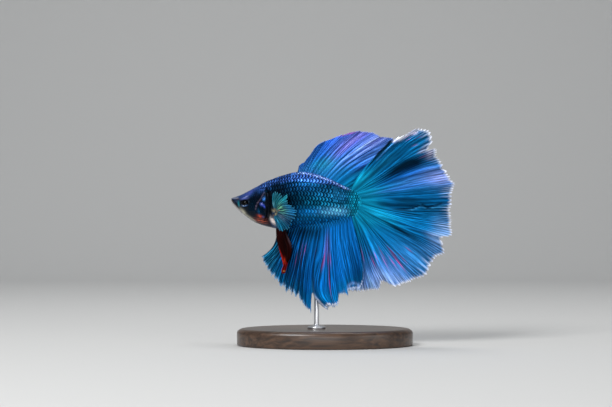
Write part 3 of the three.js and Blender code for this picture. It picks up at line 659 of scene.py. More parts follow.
def fin_shell(name, material, columns, rows, sheet, colour, web, rays, forks, seed, reach=np.ones_like,
              over=None, fringe=0.0, margin=0.0, white="ffffff", beads=0.0, root=0.35,
              thick=(0.34, 0.07), ridge=0.11):
    """A closed fin over a sheet, with its rays standing out on both faces, and its colours."""
    u, v = np.meshgrid(np.linspace(0, 1, columns), 1 - np.linspace(1, 0, rows) ** 1.25, indexing="ij")
    ray, tone = forked(u, v, rays, forks, seed)
    at_tip, _ = forked(u, np.ones_like(u), rays, forks, seed)
    edge_rays = rays * 2 ** len(forks)
    uneven = drift(u, edge_rays, seed + 7) * 0.5 + drift(u, rays * 2, seed + 8)
    middle = on_spine(*sheet(u, v, reach(u) * (1 - fringe * (1 - at_tip - 0.5 * uneven))))
    across, along = np.gradient(middle, axis=0), np.gradient(middle, axis=1)
    face = np.cross(along, across)
    face /= np.maximum(np.linalg.norm(face, axis=-1, keepdims=True), 1e-9)
    half = blend(*thick, smooth(v * 1.5)) / 2
    lift = half + ridge * blend(0.35, 0.8, smooth(v * 2.5)) * ray**1.5
    lift *= blend(1.0, 0.35, smooth((v - 0.95) / 0.05))
    left, right = middle + face * lift[..., None], middle - face * lift[..., None]
    faces = shell_faces(np.arange(columns * rows).reshape(columns, rows))
    points = np.concatenate([left.reshape(-1, 3), right.reshape(-1, 3)])
    piece = mesh_piece(name, points, faces.tolist(), material)

    # Painted shade and light of broad pleats, darker and lighter by bundles of rays.
    pleat_shade = 1 + 0.34 * drift(u + 0.012 * np.sin(5 * v + 40 * u), rays * 2, seed + 9)
    fine = 1 + 0.22 * drift(u + 0.002 * np.sin(9 * v + 70 * u), edge_rays * 2, seed + 11)
    firm = blend(root, 1.0, smooth(v / 0.4))
    shade = blend(0.85, blend(web(u, v), 1.25, ray), firm)
    shade = shade * (1 + 0.34 * tone * smooth(v * 3)) * pleat_shade * fine
    tint = np.clip(colour(u, v, ray) * shade[..., None], 0, 1)
    if over:
        tint = over(tint, u, v, ray)
    tint = edge_line(tint, v, ray, margin * (1.2 + drift(u, edge_rays // 2, seed + 12)), white)
    bright = beads * smooth((v - 0.972) / 0.014) * blend(0.3, 1.0, ray)
    tint = wash(tint, "eef2ff", bright * (1 + 0.5 * drift(u, edge_rays, seed + 13)))
    paint(piece, np.concatenate([tint.reshape(-1, 3)] * 2))
    note(piece, "across", np.concatenate([u.ravel()] * 2))
    note(piece, "along", np.concatenate([v.ravel()] * 2))
    # on the map for baking, the back of the fin lies above its front with a gap between them
    flat = np.stack([u, v * 0.49], -1).reshape(-1, 2)
    own_map(piece, np.concatenate([flat, flat + (0, 0.505)]) * 0.99 + 0.004)
    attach(piece, "root")
    return piece


def drawn_out(root, tip, bow, sway):
    """Where points lie along rays from root to tip, bowed aside on the way; returns s and z."""
    def along(u, v, reach):
        (root_s, root_z), (tip_s, tip_z) = root(u), tip(u)
        ray_s, ray_z = (tip_s - root_s) * reach, (tip_z - root_z) * reach
        aside = 4 * (bow(u) + 0.016 * drift(u, 11, sway)) * v * (1 - v)
        aside = aside + 0.012 * drift(u, 12, sway + 1) * np.sin(2 * math.pi * v)
        return root_s + ray_s * v - ray_z * aside, root_z + ray_z * v + ray_s * aside
    return along


FIBRES = {"From Min": 0.32, "From Max": 0.68, "To Min": 0.55, "To Max": 1.45}


def web_material(name, streaks, sheen, metallic=0.35, roughness=0.42, sockets=()):
    """Wet fin web: its own colours with fine fibres along the rays, shining in its own blue."""
    look = {"Specular Tint": (*sheen, 1), **dict(sockets)}
    material, shader = plain_material(name, (0.05, 0.2, 0.5), roughness, metallic, look)
    colour = add_node(material, "Attribute", attribute_name="marking_and_light")
    across = add_node(material, "Attribute", attribute_name="across")
    along = add_node(material, "Attribute", attribute_name="along")
    place = add_node(material, "CombineXYZ")
    stretch = add_node(material, "Mapping", {"Scale": (streaks, 7.0, 1.0)})
    fibre = add_node(material, "TexNoise", {"Scale": 1.0, "Detail": 3.0})
    depth = add_node(material, "MapRange", FIBRES)
    tone = add_node(material, "VectorMath", operation="SCALE")
    grain = add_node(material, "Bump", {"Strength": 0.35, "Distance": 0.00008})
    join(
        material,
        (across, "Fac", place, "X"),
        (along, "Fac", place, "Y"),
        (place, "Vector", stretch, "Vector"),
        (stretch, "Vector", fibre, "Vector"),
        (fibre, "Fac", depth, "Value"),
        (colour, "Color", tone, 0),
        (depth, "Result", tone, "Scale"),
        (tone, "Vector", shader, "Base Color"),
        (fibre, "Fac", grain, "Height"),
        (grain, "Normal", shader, "Normal"),
    )
    return material


def spot(u, v, at, size, lean=0.0):
    """A soft patch on a fin, at (across, along), leaning across as it runs out."""
    return np.exp(-(((u - at[0] - lean * (v - at[1])) / size[0]) ** 2 + ((v - at[1]) / size[1]) ** 2))


def spots(colour, u, v, table, mask=1.0):
    """Lays on soft patches: colour, strength, middle, size and, for some, how they lean."""
    for code, strength, *where in table:
        colour = wash(colour, code, strength * spot(u, v, *where) * mask)
    return colour


FAN_MIDDLE = (7.7, 0.2)
FAN_FROM, FAN_TO = 53.3, -94.0  # the fan's edges, in degrees above the body's line
FAN_EDGE = [  # angle, and how far the fan reaches there
    (-94, 30.8), (-87, 31), (-78, 31.6), (-69, 32.0), (-66.5, 30), (-64.5, 30.3), (-61, 32.8),
    (-58, 34.4), (-51, 35.4), (-46, 36.2), (-42, 37.3), (-34, 36.3), (-31, 36.2), (-27, 38),
    (-22.5, 35.6), (-20, 35), (-17.2, 37.7), (-11, 36.8), (-3.5, 36), (0, 36.8), (6.7, 37.2), (10, 38),
    (13.3, 37), (20, 36.3), (23.3, 36.4), (27, 35.5), (31.5, 36.2), (33.3, 33.8), (36, 36.7),
    (38.5, 37.4), (41.3, 37.8), (44, 36.6), (47, 35.3), (49, 32), (50.5, 30.2), (52.5, 28.8),
    (53.4, 27.8),
]
FAN_FOLDS = [
    (48.6, -1.7, 3.6), (38, -1.0, 6), (25, 1.8, 6), (8, -1.2, 6), (-5.5, -0.4, 4), (-18, -1.3, 6),
    (-28, 1.7, 3.2), (-38, -1.2, 5), (-48, 0.8, 3), (-60, -1.4, 6), (-71, 0.6, 4), (-84, -0.3, 4),
]
CREASE = [  # v, and the angle of the fold there
    (0.3, -7.5), (0.45, -7.2), (0.6, -5.2), (0.7, -1.4), (0.77, -2.9), (0.84, -1.6), (0.93, -0.2), (1.0, 0.2),
]


def fan_angle(u):
    return blend(FAN_FROM, FAN_TO, u)


def fan_root(u):
    a = np.radians(blend(80, -80, u))
    return 8.2 + 2.2 * np.cos(a), 4.0 * np.sin(a)


def fan_tip(u):
    turned_by = fan_angle(u) + 1.5 * drift(u, 13, 51) * smooth((u - 0.02) / 0.1)
    a = np.radians(turned_by)
    far = through(*zip(*FAN_EDGE), turned_by) + 0.3
    return FAN_MIDDLE[0] + far * np.cos(a), FAN_MIDDLE[1] + far * np.sin(a)


def fan_bow(u):
    return 0.07 * (1 - np.clip(u / 0.3, 0, 1)) ** 1.5 - 0.04 * np.clip((u - 0.8) / 0.2, 0, 1) ** 2


fan_place = drawn_out(fan_root, fan_tip, fan_bow, 71)


def past_crease(u, v):
    """Degrees above the fold where the fan's upper half laps over the lower half."""
    return fan_angle(u) - through(*zip(*CREASE), v)


def fan_sheet(u, v, reach):
    s, z = fan_place(u, v, reach)
    angle, past = fan_angle(u), past_crease(u, v)
    swing = -3.4 * np.sin(np.radians(angle)) * v
    pleats = 0.28 * np.cos(2 * math.pi * (u * 14 + 0.6 * drift(u, 9, 5))) * smooth((v - 0.1) / 0.5)
    ruffle = 0.30 * drift(u, 60, 3) * smooth((v - 0.75) / 0.25)
    lap = 0.75 * np.tanh(past / 0.7) * smooth((v - 0.3) / 0.2) * near(past, 7)
    return s, swing + hills(FAN_FOLDS, angle) * v**1.3 + pleats + ruffle + lap, z


# Patches by angle and v: above the fold, below it, and at the outer ends of both lobes.
UPPER_LOBE = [
    ("034c7c", 0.9, (40, 0.55), (11, 0.4)), ("0b5a86", 0.6, (38, 0.9), (6, 0.15)),
    # the two dark patches at 28.4 and 24 degrees are painted shade in a fold valley
    ("00040a", 1.35, (28.4, 0.64), (5.3, 0.28)), ("03305c", 0.8, (24, 0.45), (3.5, 0.3)),
    ("10a0c8", 0.9, (50, 0.2), (10, 0.12)), ("0c5878", 0.7, (41, 0.42), (4, 0.2)),
    # the pale blue patches at 15, 14.5 and 12 degrees are painted highlight where a fold faces up
    ("0a4a9c", 0.8, (21, 0.7), (3.2, 0.25)), ("4f86dc", 0.95, (15, 0.8), (5.0, 0.28)),
    ("98a6ee", 0.85, (14.5, 0.92), (5.5, 0.14)), ("3a78d4", 0.7, (12, 0.5), (2.5, 0.25)),
    ("055a94", 0.95, (5, 0.62), (5, 0.34)),
]
LOWER_LOBE = [
    ("01222e", 0.85, (-10.2, 0.62), (0.6, 0.14)), ("12a0d0", 0.9, (-22, 0.32), (9, 0.18)),
    # the dark patch at -28.5 degrees is painted shade in a crease
    ("000c18", 1.0, (-28.5, 0.52), (1.8, 0.24), -5), ("022a44", 0.9, (-44, 0.36), (1.3, 0.18), -9),
    ("022a44", 0.7, (-84, 0.5), (1.6, 0.3), 3), ("0a80c4", 0.8, (-60, 0.42), (14, 0.2)),
    # the pale lavender patches from -64 to -82 degrees near the edge are partly painted highlight, where the
    # lower lobe faces up
    ("4a8ade", 0.9, (-64, 0.84), (19, 0.22)), ("94b8fa", 0.85, (-68, 0.9), (15, 0.13)),
    ("74aafa", 0.9, (-82, 0.88), (7, 0.14)), ("3f92dc", 0.6, (-42, 0.86), (9, 0.2)),
    ("8fb4ec", 0.6, (-20, 0.93), (10, 0.09)),
]
STREAKS = [  # magenta streaks in the lower lobe: angle, v, half width, half length, strength
    (-47.4, 0.62, 0.35, 0.07, 0.8), (-49, 0.74, 0.45, 0.1, 1.0), (-44.8, 0.73, 0.3, 0.05, 0.6),
    (-56, 0.6, 0.3, 0.08, 0.6), (-58, 0.68, 0.3, 0.08, 0.5), (-65.5, 0.71, 0.4, 0.06, 1.0),
    (-62, 0.6, 0.25, 0.06, 0.5), (-74, 0.54, 0.3, 0.08, 0.6), (-77, 0.66, 0.3, 0.06, 0.7),
    (-78.5, 0.78, 0.3, 0.05, 0.8), (-37.2, 0.72, 0.3, 0.04, 0.4), (-52.5, 0.72, 0.3, 0.08, 0.6),
]
LOBE_ENDS = [
    ("a9a0b4", 0.7, (31.5, 0.94), (3.4, 0.045)), ("5a2848", 0.7, (30.5, 0.86), (0.5, 0.04)),
    # the bright blue patches at -86 to -90 degrees are painted light over the shadow the belly fin casts on
    # the lower lobe
    ("3c88ff", 0.95, (-88, 0.86), (7, 0.26)), ("6cb0ff", 0.9, (-90, 0.84), (6, 0.2)),
    ("a8ccff", 0.9, (-86, 0.98), (9, 0.06)),
]


def fan_colour(u, v, ray):
    a, past = fan_angle(u), past_crease(u, v)
    colour = ground("076aa6", u)
    colour = wash(colour, "08789a", smooth((0.45 - v) / 0.3))
    colour = spots(colour, a, v, UPPER_LOBE)
    # Painted shadow above the crease where the upper half laps over the lower, and a painted highlight on the
    # ridge just below it.
    colour = wash(colour, "01101e", 0.97 * near(past - 0.7, 0.9) * within(v, 0.46, 0.95, 0.12))
    colour = wash(colour, "03324c", 0.8 * spot(a, v, (0.5, 0.55), (3.5, 0.2)))
    colour = wash(colour, "3fa0d8", 0.6 * near(past + 0.9, 0.5) * within(v, 0.4, 0.98, 0.15))
    colour = spots(colour, a, v, LOWER_LOBE)
    for angle, far, wide, long, strength in STREAKS:
        colour = wash(colour, "dc3c98", strength * spot(a, v, (angle, far), (wide, long), -3))
    return spots(colour, a, v, LOBE_ENDS)


# Lines beside the back fin, by s and z: the white leading edge, painted as a highlight on its
# fold ridge, and the painted shadow before it.
LOBE_RIDGE_HIGHLIGHT = [(24.2, 21.9), (25.4, 22.7), (26.8, 23.5), (28.4, 24.4), (30.0, 25.0), (31.6, 25.1)]
LOBE_SHINE = [(26.2, 23.0), (28.6, 24.5)]
LOBE_SHADOW = [(15.4, 13.6), (17.2, 15.6), (19.0, 17.7), (20.9, 19.4), (22.6, 21.0), (23.6, 22.2)]
LOBE_GLINT = [(18.2, 15.4), (21.1, 18.5), (24.4, 21.7)]
LOBE_FLECKS = [(45.8, 0.84), (44.6, 0.9), (43.2, 0.8), (41.0, 0.88), (38.2, 0.82)]


def lobe_shadow(s, z):
    """How deep a point lies in the painted shadow between the back fin and the tail's upper lobe."""
    wide = blend(0.12, 0.42, smooth((s - 15.6) / 4))
    return 1.2 * near(from_line(s, z, LOBE_SHADOW), wide, 4)


def fan_over(colour, u, v, ray):
    """The white band along the upper lobe's leading edge, painted as a highlight, and the painted shadow
    beside it.
    """
    s, z = fan_place(u, v, 1)
    colour = wash(colour, "4f98dc", 0.8 * near(from_line(s, z, LOBE_GLINT), 0.2))
    colour = wash(colour, "000306", lobe_shadow(s, z))
    wide = blend(0.35, 0.8, smooth((s - 23) / 6))
    colour = wash(colour, "dcdcf6", 1.1 * near(from_line(s, z, LOBE_RIDGE_HIGHLIGHT), wide) * (0.75 + 0.25 * ray))
    colour = wash(colour, "ffffff", near(from_line(s, z, LOBE_SHINE), 0.55))
    flecks = [("a84a90", 0.4, at, (0.22, 0.03), -8) for at in LOBE_FLECKS]
    return spots(colour, fan_angle(u), v, flecks)


def fan_web(u, v):
    """How bright the web between the rays is, against the rays themselves."""
    a = fan_angle(u)
    pale = 0.34 * spot(a, v, (-66, 0.88), (20, 0.22)) + 0.2 * spot(a, v, (15, 0.85), (7, 0.25))
    quiet = 0.3 * spot(a, v, (5, 0.6), (7, 0.4)) + 0.25 * spot(a, v, (40, 0.5), (12, 0.5))
    quiet = quiet + 0.25 * spot(a, v, (-38, 0.6), (8, 0.3)) + 0.45 * spot(a, v, (-88, 0.9), (9, 0.2))
    return 0.38 + 0.24 * drift(u, 40, 31) + pale + quiet


blue_web = web_material("blue_web", 420.0, (0.02, 0.4, 1.0))
tail_fin = fin_shell(
    "tail_fin", blue_web, 740, 62, fan_sheet, fan_colour, fan_web, rays=12, forks=(0.02, 0.18, 0.5), seed=21,
    over=fan_over, fringe=0.024, margin=0.09, white="c9d2ea", beads=0.8,
)
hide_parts("caudal_fin")

# ---------------------------------------------------------------- back fin
# A tall fin from the top of the back to the tail stalk, its rays leaning back so that its rear
# half stands behind the tail fin's upper edge. Blue, with lavender upper and rear parts that are
# partly painted highlight, and painted shade on its rear where the tail fin lies over it.

FIN_INSET = 1.2  # how deep a fin's root stands in the body
BACK_EDGE = [(-10.1, 13.2), (-6.4, 16.4), (-2.6, 20.9), (2.0, 22.8), (7.4, 24.6), (12.0, 25.5), (16.8, 25.0)]
BACK_EDGE += [(19.6, 23.6), (24.2, 23.1), (25.6, 19.4), (23.8, 14.6), (20.8, 10.8), (17.0, 7.8)]
BACK_FOLDS = [
    (0.15, -0.5, 0.04), (0.26, 0.5, 0.04), (0.38, -0.7, 0.04), (0.48, 0.7, 0.035), (0.57, -0.8, 0.03),
    (0.66, 0.7, 0.03), (0.75, -0.7, 0.03), (0.85, 0.5, 0.03),
]


def outline_at(points, t):
    """A Catmull-Rom line through points, t from 0 to 1."""
    points = np.array(points, float)
    last = len(points) - 1
    place = np.clip(t, 0, 1) * last
    i = np.minimum(np.floor(place).astype(int), last - 1)
    w = (place - i)[..., None]
    p0, p1, p2, p3 = points[np.maximum(i - 1, 0)], points[i], points[i + 1], points[np.minimum(i + 2, last)]
    v0, v1 = (p2 - p0) * 0.5, (p3 - p1) * 0.5
    return (2 * p1 - 2 * p2 + v0 + v1) * w**3 + (-3 * p1 + 3 * p2 - 2 * v0 - v1) * w**2 + v0 * w + p1


def back_root(u):
    s = blend(-10.3, 9.6, u**1.25)
    return s, through(STATIONS, BACK, s) - FIN_INSET


def back_tip(u):
    return tuple(np.moveaxis(outline_at(BACK_EDGE, u), -1, 0))


def back_bow(u):
    return 0.05 * np.sin(math.pi * u)


back_place = drawn_out(back_root, back_tip, back_bow, 73)


def back_sheet(u, v, reach):
    s, z = back_place(u, v, reach)
    pleats = 0.14 * np.cos(2 * math.pi * u * 18) * smooth((v - 0.2) / 0.5)
    return s, blend(0.8, 3.4, np.minimum(u * 1.5, 1)) * v**1.2 + hills(BACK_FOLDS, u) * v**1.4 + pleats, z


# The pale lavender and periwinkle patches high on the fin are partly painted highlight, where its leaning top
# faces up.
BACK_PATCHES = [
    ("0a8aa8", 0.85, (0.40, 0.26), (0.12, 0.16)), ("0c3680", 0.9, (0.12, 0.7), (0.14, 0.4)),
    ("2c5cc8", 0.9, (0.3, 0.9), (0.10, 0.25)), ("6f7eea", 0.95, (0.45, 0.80), (0.10, 0.36)),
    ("9a92f4", 0.8, (0.46, 0.74), (0.04, 0.24)), ("5a8cf0", 0.95, (0.60, 0.75), (0.07, 0.4)),
    ("8c9cf8", 0.9, (0.60, 0.9), (0.06, 0.2)), ("8fa8f2", 0.8, (0.625, 0.7), (0.010, 0.3)),
    ("9cb4f4", 0.7, (0.575, 0.6), (0.006, 0.3)), ("6ea2ff", 0.85, (0.68, 0.75), (0.03, 0.3)),
    ("0a3c7c", 0.8, (0.55, 0.45), (0.010, 0.2)), ("093e6c", 0.85, (0.65, 0.42), (0.012, 0.24)),
    ("5a9aff", 0.95, (0.73, 0.75), (0.05, 0.3)),
]
REAR_GLOW = ("0d86b4", 0.7, (0.80, 0.4), (0.02, 0.2))
CREST_GLOW = ("c860c0", 0.9, (0.36, 0.975), (0.045, 0.03))


def back_colour(u, v, ray):
    colour = wash(ground("155ab4", u), "0868a4", smooth((0.5 - v) / 0.3))
    colour = spots(colour, u, v, BACK_PATCHES)
    colour = wash(colour, "056080", 0.85 * smooth((u - 0.78) / 0.08))
    colour = spots(colour, u, v, [REAR_GLOW])
    # Painted shade on the fin's rear, where the tail fin's upper lobe lies over it.
    colour = wash(colour, "02182a", 0.85 * smooth((u - 0.82) / 0.08) * smooth((v - 0.5) / 0.3))
    return spots(colour, u, v, [CREST_GLOW])


def back_over(colour, u, v, ray):
    """Dashes of bright small scales up the front rays and the foot, and the painted shadow before the tail.
    """
    s, z = back_place(u, v, 1)
    colour = wash(colour, "000306", lobe_shadow(s, z))
    steps = v * (14 + 8 * u) + 0.5 * np.floor(u * 54) + 0.25 * drift(u, 40, 47)
    dash = smooth((np.sin(2 * math.pi * steps) + 0.15) / 0.6) * blend(0.35, 1.0, ray)
    foot = np.clip(spot(u, v, (0.04, 0.5), (0.2, 0.5)) + spot(u, v, (0.25, 0.0), (0.3, 0.24)), 0, 1)
    colour = wash(colour, "4a90e4", 0.75 * dash * foot)
    return wash(colour, "02244a", 0.75 * (1 - dash) * foot)


def back_web(u, v):
    return 0.5 + 0.2 * drift(u, 30, 33) - 0.08 * spot(u, v, (0.6, 0.4), (0.1, 0.3))


def back_reach(u):
    return 1 - 0.1 * near(u - 0.055, 0.014)


back_fin = fin_shell(
    "back_fin", blue_web, 480, 50, back_sheet, back_colour, back_web, rays=18, forks=(0.3, 0.55), seed=43,
    reach=back_reach, over=back_over, fringe=0.018, margin=0.03, white="9fb0ee", root=0.7,
)
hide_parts("dorsal_fin")

# ---------------------------------------------------------------- belly fin
# The long anal fin hangs from throat to tail stalk. Its front rays sweep forwards and the others
# hang straight down; a deep notch parts it below. Royal blue with magenta streaks.

BELLY_EDGE = [  # u, and the ray's tip there as s and z
    (0, -24.7, -19.2), (0.1, -22.9, -23.0), (0.2, -19.6, -26.4), (0.3, -15.6, -31.0),
    (0.36, -12.4, -32.2), (0.42, -9.2, -33.6), (0.46, -7.9, -35.4), (0.5, -6.2, -36.6),
    (0.532, -4.8, -38.3), (0.545, -4.5, -38.2), (0.554, -4.4, -36), (0.56, -4.1, -32.8),
    (0.566, -3.5, -31.6), (0.577, 1.2, -37.4), (0.59, 1.3, -36.7), (0.61, 1.9, -36.1), (0.64, 2.8, -35.9),
    (0.67, 3.7, -35.9), (0.69, 4.4, -35.4), (0.705, 4.85, -34.5), (0.716, 4.95, -33.3),
    (0.727, 5.1, -32.3), (0.75, 6.0, -31.8), (0.78, 7.2, -31.5), (0.8, 8.0, -32), (0.815, 8.0, -30.7),
    (0.86, 9.6, -30.2), (0.9, 11.0, -30.1), (0.94, 12.4, -29.4), (0.97, 13.2, -27.2), (1.0, 13.3, -24),
]
BELLY_FOLDS = [
    (0.08, 0.5, 0.05), (0.2, -0.7, 0.05), (0.3, 0.7, 0.05), (0.41, -0.9, 0.05), (0.52, 0.8, 0.035),
    (0.62, -0.9, 0.05), (0.73, 0.8, 0.04), (0.84, -1.0, 0.05), (0.95, 0.6, 0.03),
]


def belly_root(u):
    s = blend(-18.6, 9.2, u**0.8)
    return s, through(STATIONS, BELLY, s) + FIN_INSET


def belly_tip(u):
    at, tip_s, tip_z = zip(*BELLY_EDGE)
    return through(at, tip_s, u), through(at, tip_z, u)


def belly_bow(u):
    return 0.2 * (1 - np.clip(u / 0.3, 0, 1)) ** 1.6 - 0.05 * np.sin(math.pi * np.clip((u - 0.1) / 0.9, 0, 1))


belly_place = drawn_out(belly_root, belly_tip, belly_bow, 75)


def belly_sheet(u, v, reach):
    s, z = belly_place(u, v, reach)
    curl = smooth((u - 0.566) / 0.01) * (1 - smooth((u - 0.577) / 0.15))
    s = s - 3.2 * curl * v**4 * (1 - v) / 0.082
    lean = -2.6 * np.clip((u - 0.15) / 0.4, 0, 1) - 0.9 * np.clip((u - 0.8) / 0.2, 0, 1)
    pleats = 0.2 * np.cos(2 * math.pi * u * 22) * smooth((v - 0.15) / 0.5)
    return s, lean * v**1.2 + hills(BELLY_FOLDS, u) * v**1.4 + pleats, z


BELLY_PATCHES = [
    ("0c70c4", 0.95, (0.86, 0.5), (0.14, 0.4)), ("065ca4", 0.8, (0.62, 0.45), (0.12, 0.3)),
    ("06547c", 0.8, (0.05, 0.8), (0.12, 0.4)), ("021420", 0.95, (0.05, 0.35), (0.13, 0.45)),
]
BELLY_RAYS = [("0f86b4", 0.8, (0.05, 0.8), (0.12, 0.4)), ("0a6cc4", 0.7, (0.28, 0.55), (0.16, 0.45))]
BELLY_STREAKS = [  # u, v, half width and half length of the magenta streaks
    (0.632, 0.44, 0.006, 0.09), (0.622, 0.52, 0.004, 0.06), (0.668, 0.46, 0.0025, 0.06),
    (0.674, 0.66, 0.003, 0.16), (0.39, 0.42, 0.003, 0.08), (0.41, 0.52, 0.0025, 0.06),
    (0.43, 0.38, 0.0025, 0.06), (0.56, 0.42, 0.003, 0.05), (0.69, 0.46, 0.003, 0.07),
    (0.35, 0.56, 0.0025, 0.08),
]


def belly_colour(u, v, ray):
    colour = ground("0558a0", u)
    colour = wash(colour, "03304e", 0.9 * smooth((0.45 - v) / 0.3) * smooth((0.7 - u) / 0.3))
    colour = wash(colour, "03386a", 0.7 * smooth((0.5 - u) / 0.2))
    colour = wash(colour, "03304c", 0.9 * smooth((0.13 - v) / 0.1))
    colour = spots(colour, u, v, BELLY_PATCHES)
    root_shade = (0.95 - 0.5 * ray) * smooth((0.28 - v) / 0.16) * smooth((0.66 - u) / 0.15)
    colour = wash(colour, "01121f", root_shade)
    colour = spots(colour, u, v, BELLY_RAYS, ray**3)
    colour = wash(colour, "0574a8", 0.5 * smooth((v - 0.75) / 0.2))
    for place, far, wide, long in BELLY_STREAKS:
        colour = wash(colour, "98185c", 0.9 * spot(u, v, (place, far), (wide, long)))
    return wash(colour, "6a5ab0", 0.6 * spot(u, v, (0.655, 0.3), (0.03, 0.12)))


def belly_over(colour, u, v, ray):
    """Small scales over the fin's foot, and the white rims of its curled lobe and rear ruffle."""
    row = np.floor(v * 22)
    dash = smooth((np.sin(2 * math.pi * (u * 26 + row / 2)) + 0.1) / 0.7)
    foot = smooth((0.13 - v) / 0.07) * within(u, 0.12, 0.96, 0.1)
    colour = wash(colour, "0c68ac", 0.7 * dash * foot)
    colour = wash(colour, "02203c", 0.6 * (1 - dash) * foot)
    gap = (0.5 - 0.5 * np.cos(2 * math.pi * (u * 40 + 0.45 * drift(u, 40, 77)))) ** 3
    colour = wash(colour, "010c18", 0.8 * gap * smooth((0.56 - u) / 0.12) * smooth((v - 0.2) / 0.3))
    colour = wash(colour, "38a8dc", 0.7 * (1 - gap) ** 3 * ray * spot(u, v, (0.05, 0.85), (0.1, 0.32)))
    colour = wash(colour, "8cc0e8", 0.7 * smooth((v - 0.955) / 0.02) * smooth((0.52 - u) / 0.08) * (1 - gap))
    rim = spot(u, v, (0.579, 0.97), (0.006, 0.13))
    rim = rim + within(u, 0.59, 0.71, 0.015) * smooth((v - 0.972) / 0.012)
    colour = wash(colour, "d8dae4", 0.9 * rim)
    ruffle = near(np.hypot((u - 0.875) / 0.06, (v - 0.97) / 0.055) - 0.8, 0.28)
    colour = wash(colour, "8fb4f0", 0.75 * ruffle * (0.5 + 0.5 * ray))
    return wash(colour, "d8e2fa", 0.8 * within(u, 0.81, 0.97, 0.02) * smooth((v - 0.975) / 0.012))


def belly_web(u, v):
    return 0.28 + 0.2 * drift(u, 50, 35) - 0.16 * smooth((0.5 - u) / 0.2) + 0.12 * smooth((u - 0.7) / 0.1)


def belly_reach(u):
    scallops = np.abs(np.sin(math.pi * (u * 22 + 0.3 * drift(u, 22, 69))))
    return 1 - 0.05 * scallops * smooth((0.5 - u) / 0.06)


belly_fin = fin_shell(
    "belly_fin", blue_web, 740, 56, belly_sheet, belly_colour, belly_web, rays=25, forks=(0.25, 0.6), seed=65,
    reach=belly_reach, over=belly_over, fringe=0.026, margin=0.04, white="9fb8d8", root=0.8,
)
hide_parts("anal_fin")

# ---------------------------------------------------------------- breast fins
# A pair of small rounded paddles on fleshy beige bases behind the gill slits, held half open.
# Ten or so fine rays carry a thin web, turquoise with pale and greenish rays.

PADDLE_AT = (-16.4, 5.2, -3.0)
PADDLE_FROM, PADDLE_TO = 99, -84  # degrees above the body's line
PADDLE_EDGE = [  # angle, and how far the paddle reaches there
    (-84, 4.2), (-72, 6.4), (-55, 7.8), (-44, 8.6), (-31, 8.0), (-11, 8.7), (0, 8.9), (8, 8.7), (16, 8.1),
    (23, 7.3), (38, 6.9), (45, 7.2), (50, 8.3), (58, 6.3), (66, 6.6), (76, 7.2), (92, 7.0), (99, 6.4),
]
PADDLE_FLARE = math.radians(14)


def paddle_sheet(side):
    def sheet(u, v, reach):
        angle = blend(PADDLE_FROM, PADDLE_TO, u)
        r = blend(0.5, through(*zip(*PADDLE_EDGE), angle) * reach, v)
        sway = 5 * drift(u, 7, 61) * np.sin(math.pi * v)
        curl = 9 * (v - 0.5) * np.sin(math.pi * u)
        a = np.radians(angle + sway - curl)
        along, up = r * np.cos(a), r * np.sin(a)
        out = 0.9 * np.sin(math.pi * v) + 0.35 * np.sin(7 * math.pi * u) * v
        out = out + 0.12 * np.cos(2 * math.pi * u * 11) * smooth((v - 0.3) / 0.5)
        s = PADDLE_AT[0] + along * math.cos(PADDLE_FLARE) - out * math.sin(PADDLE_FLARE)
        l = PADDLE_AT[1] + along * math.sin(PADDLE_FLARE) + out * math.cos(PADDLE_FLARE)
        return s, side * l, PADDLE_AT[2] + up
    return sheet


def paddle_colour(u, v, ray):
    colour = ground("05445e", u)
    colour = wash(colour, "05545e", 0.9 * spot(u, v, (0.15, 0.6), (0.2, 0.4)))
    colour = wash(colour, "0b7484", 0.7 * spot(u, v, (0.28, 0.8), (0.07, 0.3)))
    colour = wash(colour, "0666a0", 0.8 * spot(u, v, (0.50, 0.9), (0.10, 0.3)))
    colour = wash(colour, "6cb084", 0.95 * spot(u, v, (0.43, 0.45), (0.14, 0.25)) * ray**2)
    colour = wash(colour, "052628", 0.85 * spot(u, v, (0.42, 0.42), (0.2, 0.25)) * (1 - ray))
    colour = wash(colour, "5fa8bc", 0.7 * spot(u, v, (0.04, 0.36), (0.08, 0.14)))
    colour = wash(colour, "5a6c88", 0.8 * spot(u, v, (0.68, 0.5), (0.07, 0.26)))
    colour = wash(colour, "0a6488", 0.7 * spot(u, v, (0.88, 0.8), (0.12, 0.4)))
    colour = wash(colour, "04305c", 0.9 * spot(u, v, (0.66, 0.95), (0.12, 0.28)))
    colour = wash(colour, "8a7c58", 0.85 * smooth((0.2 - v) / 0.1) * (0.4 + 0.6 * ray))
    colour = wash(colour, "1c1610", 0.8 * smooth((0.16 - v) / 0.1) * (1 - ray))
    return wash(colour, "b06030", 0.8 * spot(u, v, (0.47, 0.26), (0.03, 0.05)))


def paddle_web(u, v):
    return 0.5 + 0.2 * drift(u, 13, 37)


clear_web = web_material("clear_web", 120.0, (0.2, 0.7, 0.9), 0.15, 0.4)
for side, word in ((-1, "left"), (1, "right")):
    paddle = fin_shell(
        f"breast_fin_{word}", clear_web, 240, 36, paddle_sheet(side), paddle_colour, paddle_web,
        rays=13, forks=(0.35,), seed=87, fringe=0.09, margin=0.03, white="3f8ca0", root=0.9,
        thick=(0.3, 0.06), ridge=0.08,
    )
    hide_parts(f"pectoral_fin_{word}")

# ---------------------------------------------------------------- throat fins
# Two narrow blades under the breast, each a stiff bright red front ray with a black-maroon web
# behind it that ends in a thread.

BLADE_LINE = [  # s, l and z of the blade's middle, and its half width
    (-17.0, 1.1, -8.0, 1.0), (-16.1, 1.2, -9.8, 1.8), (-15.1, 1.6, -12.6, 2.3), (-13.9, 2.0, -15.6, 2.4),
    (-13.5, 2.3, -18.8, 1.7), (-13.7, 2.5, -21.4, 0.75), (-14.3, 2.6, -23.4, 0.8),
    (-14.3, 2.6, -24.6, 0.4),
]


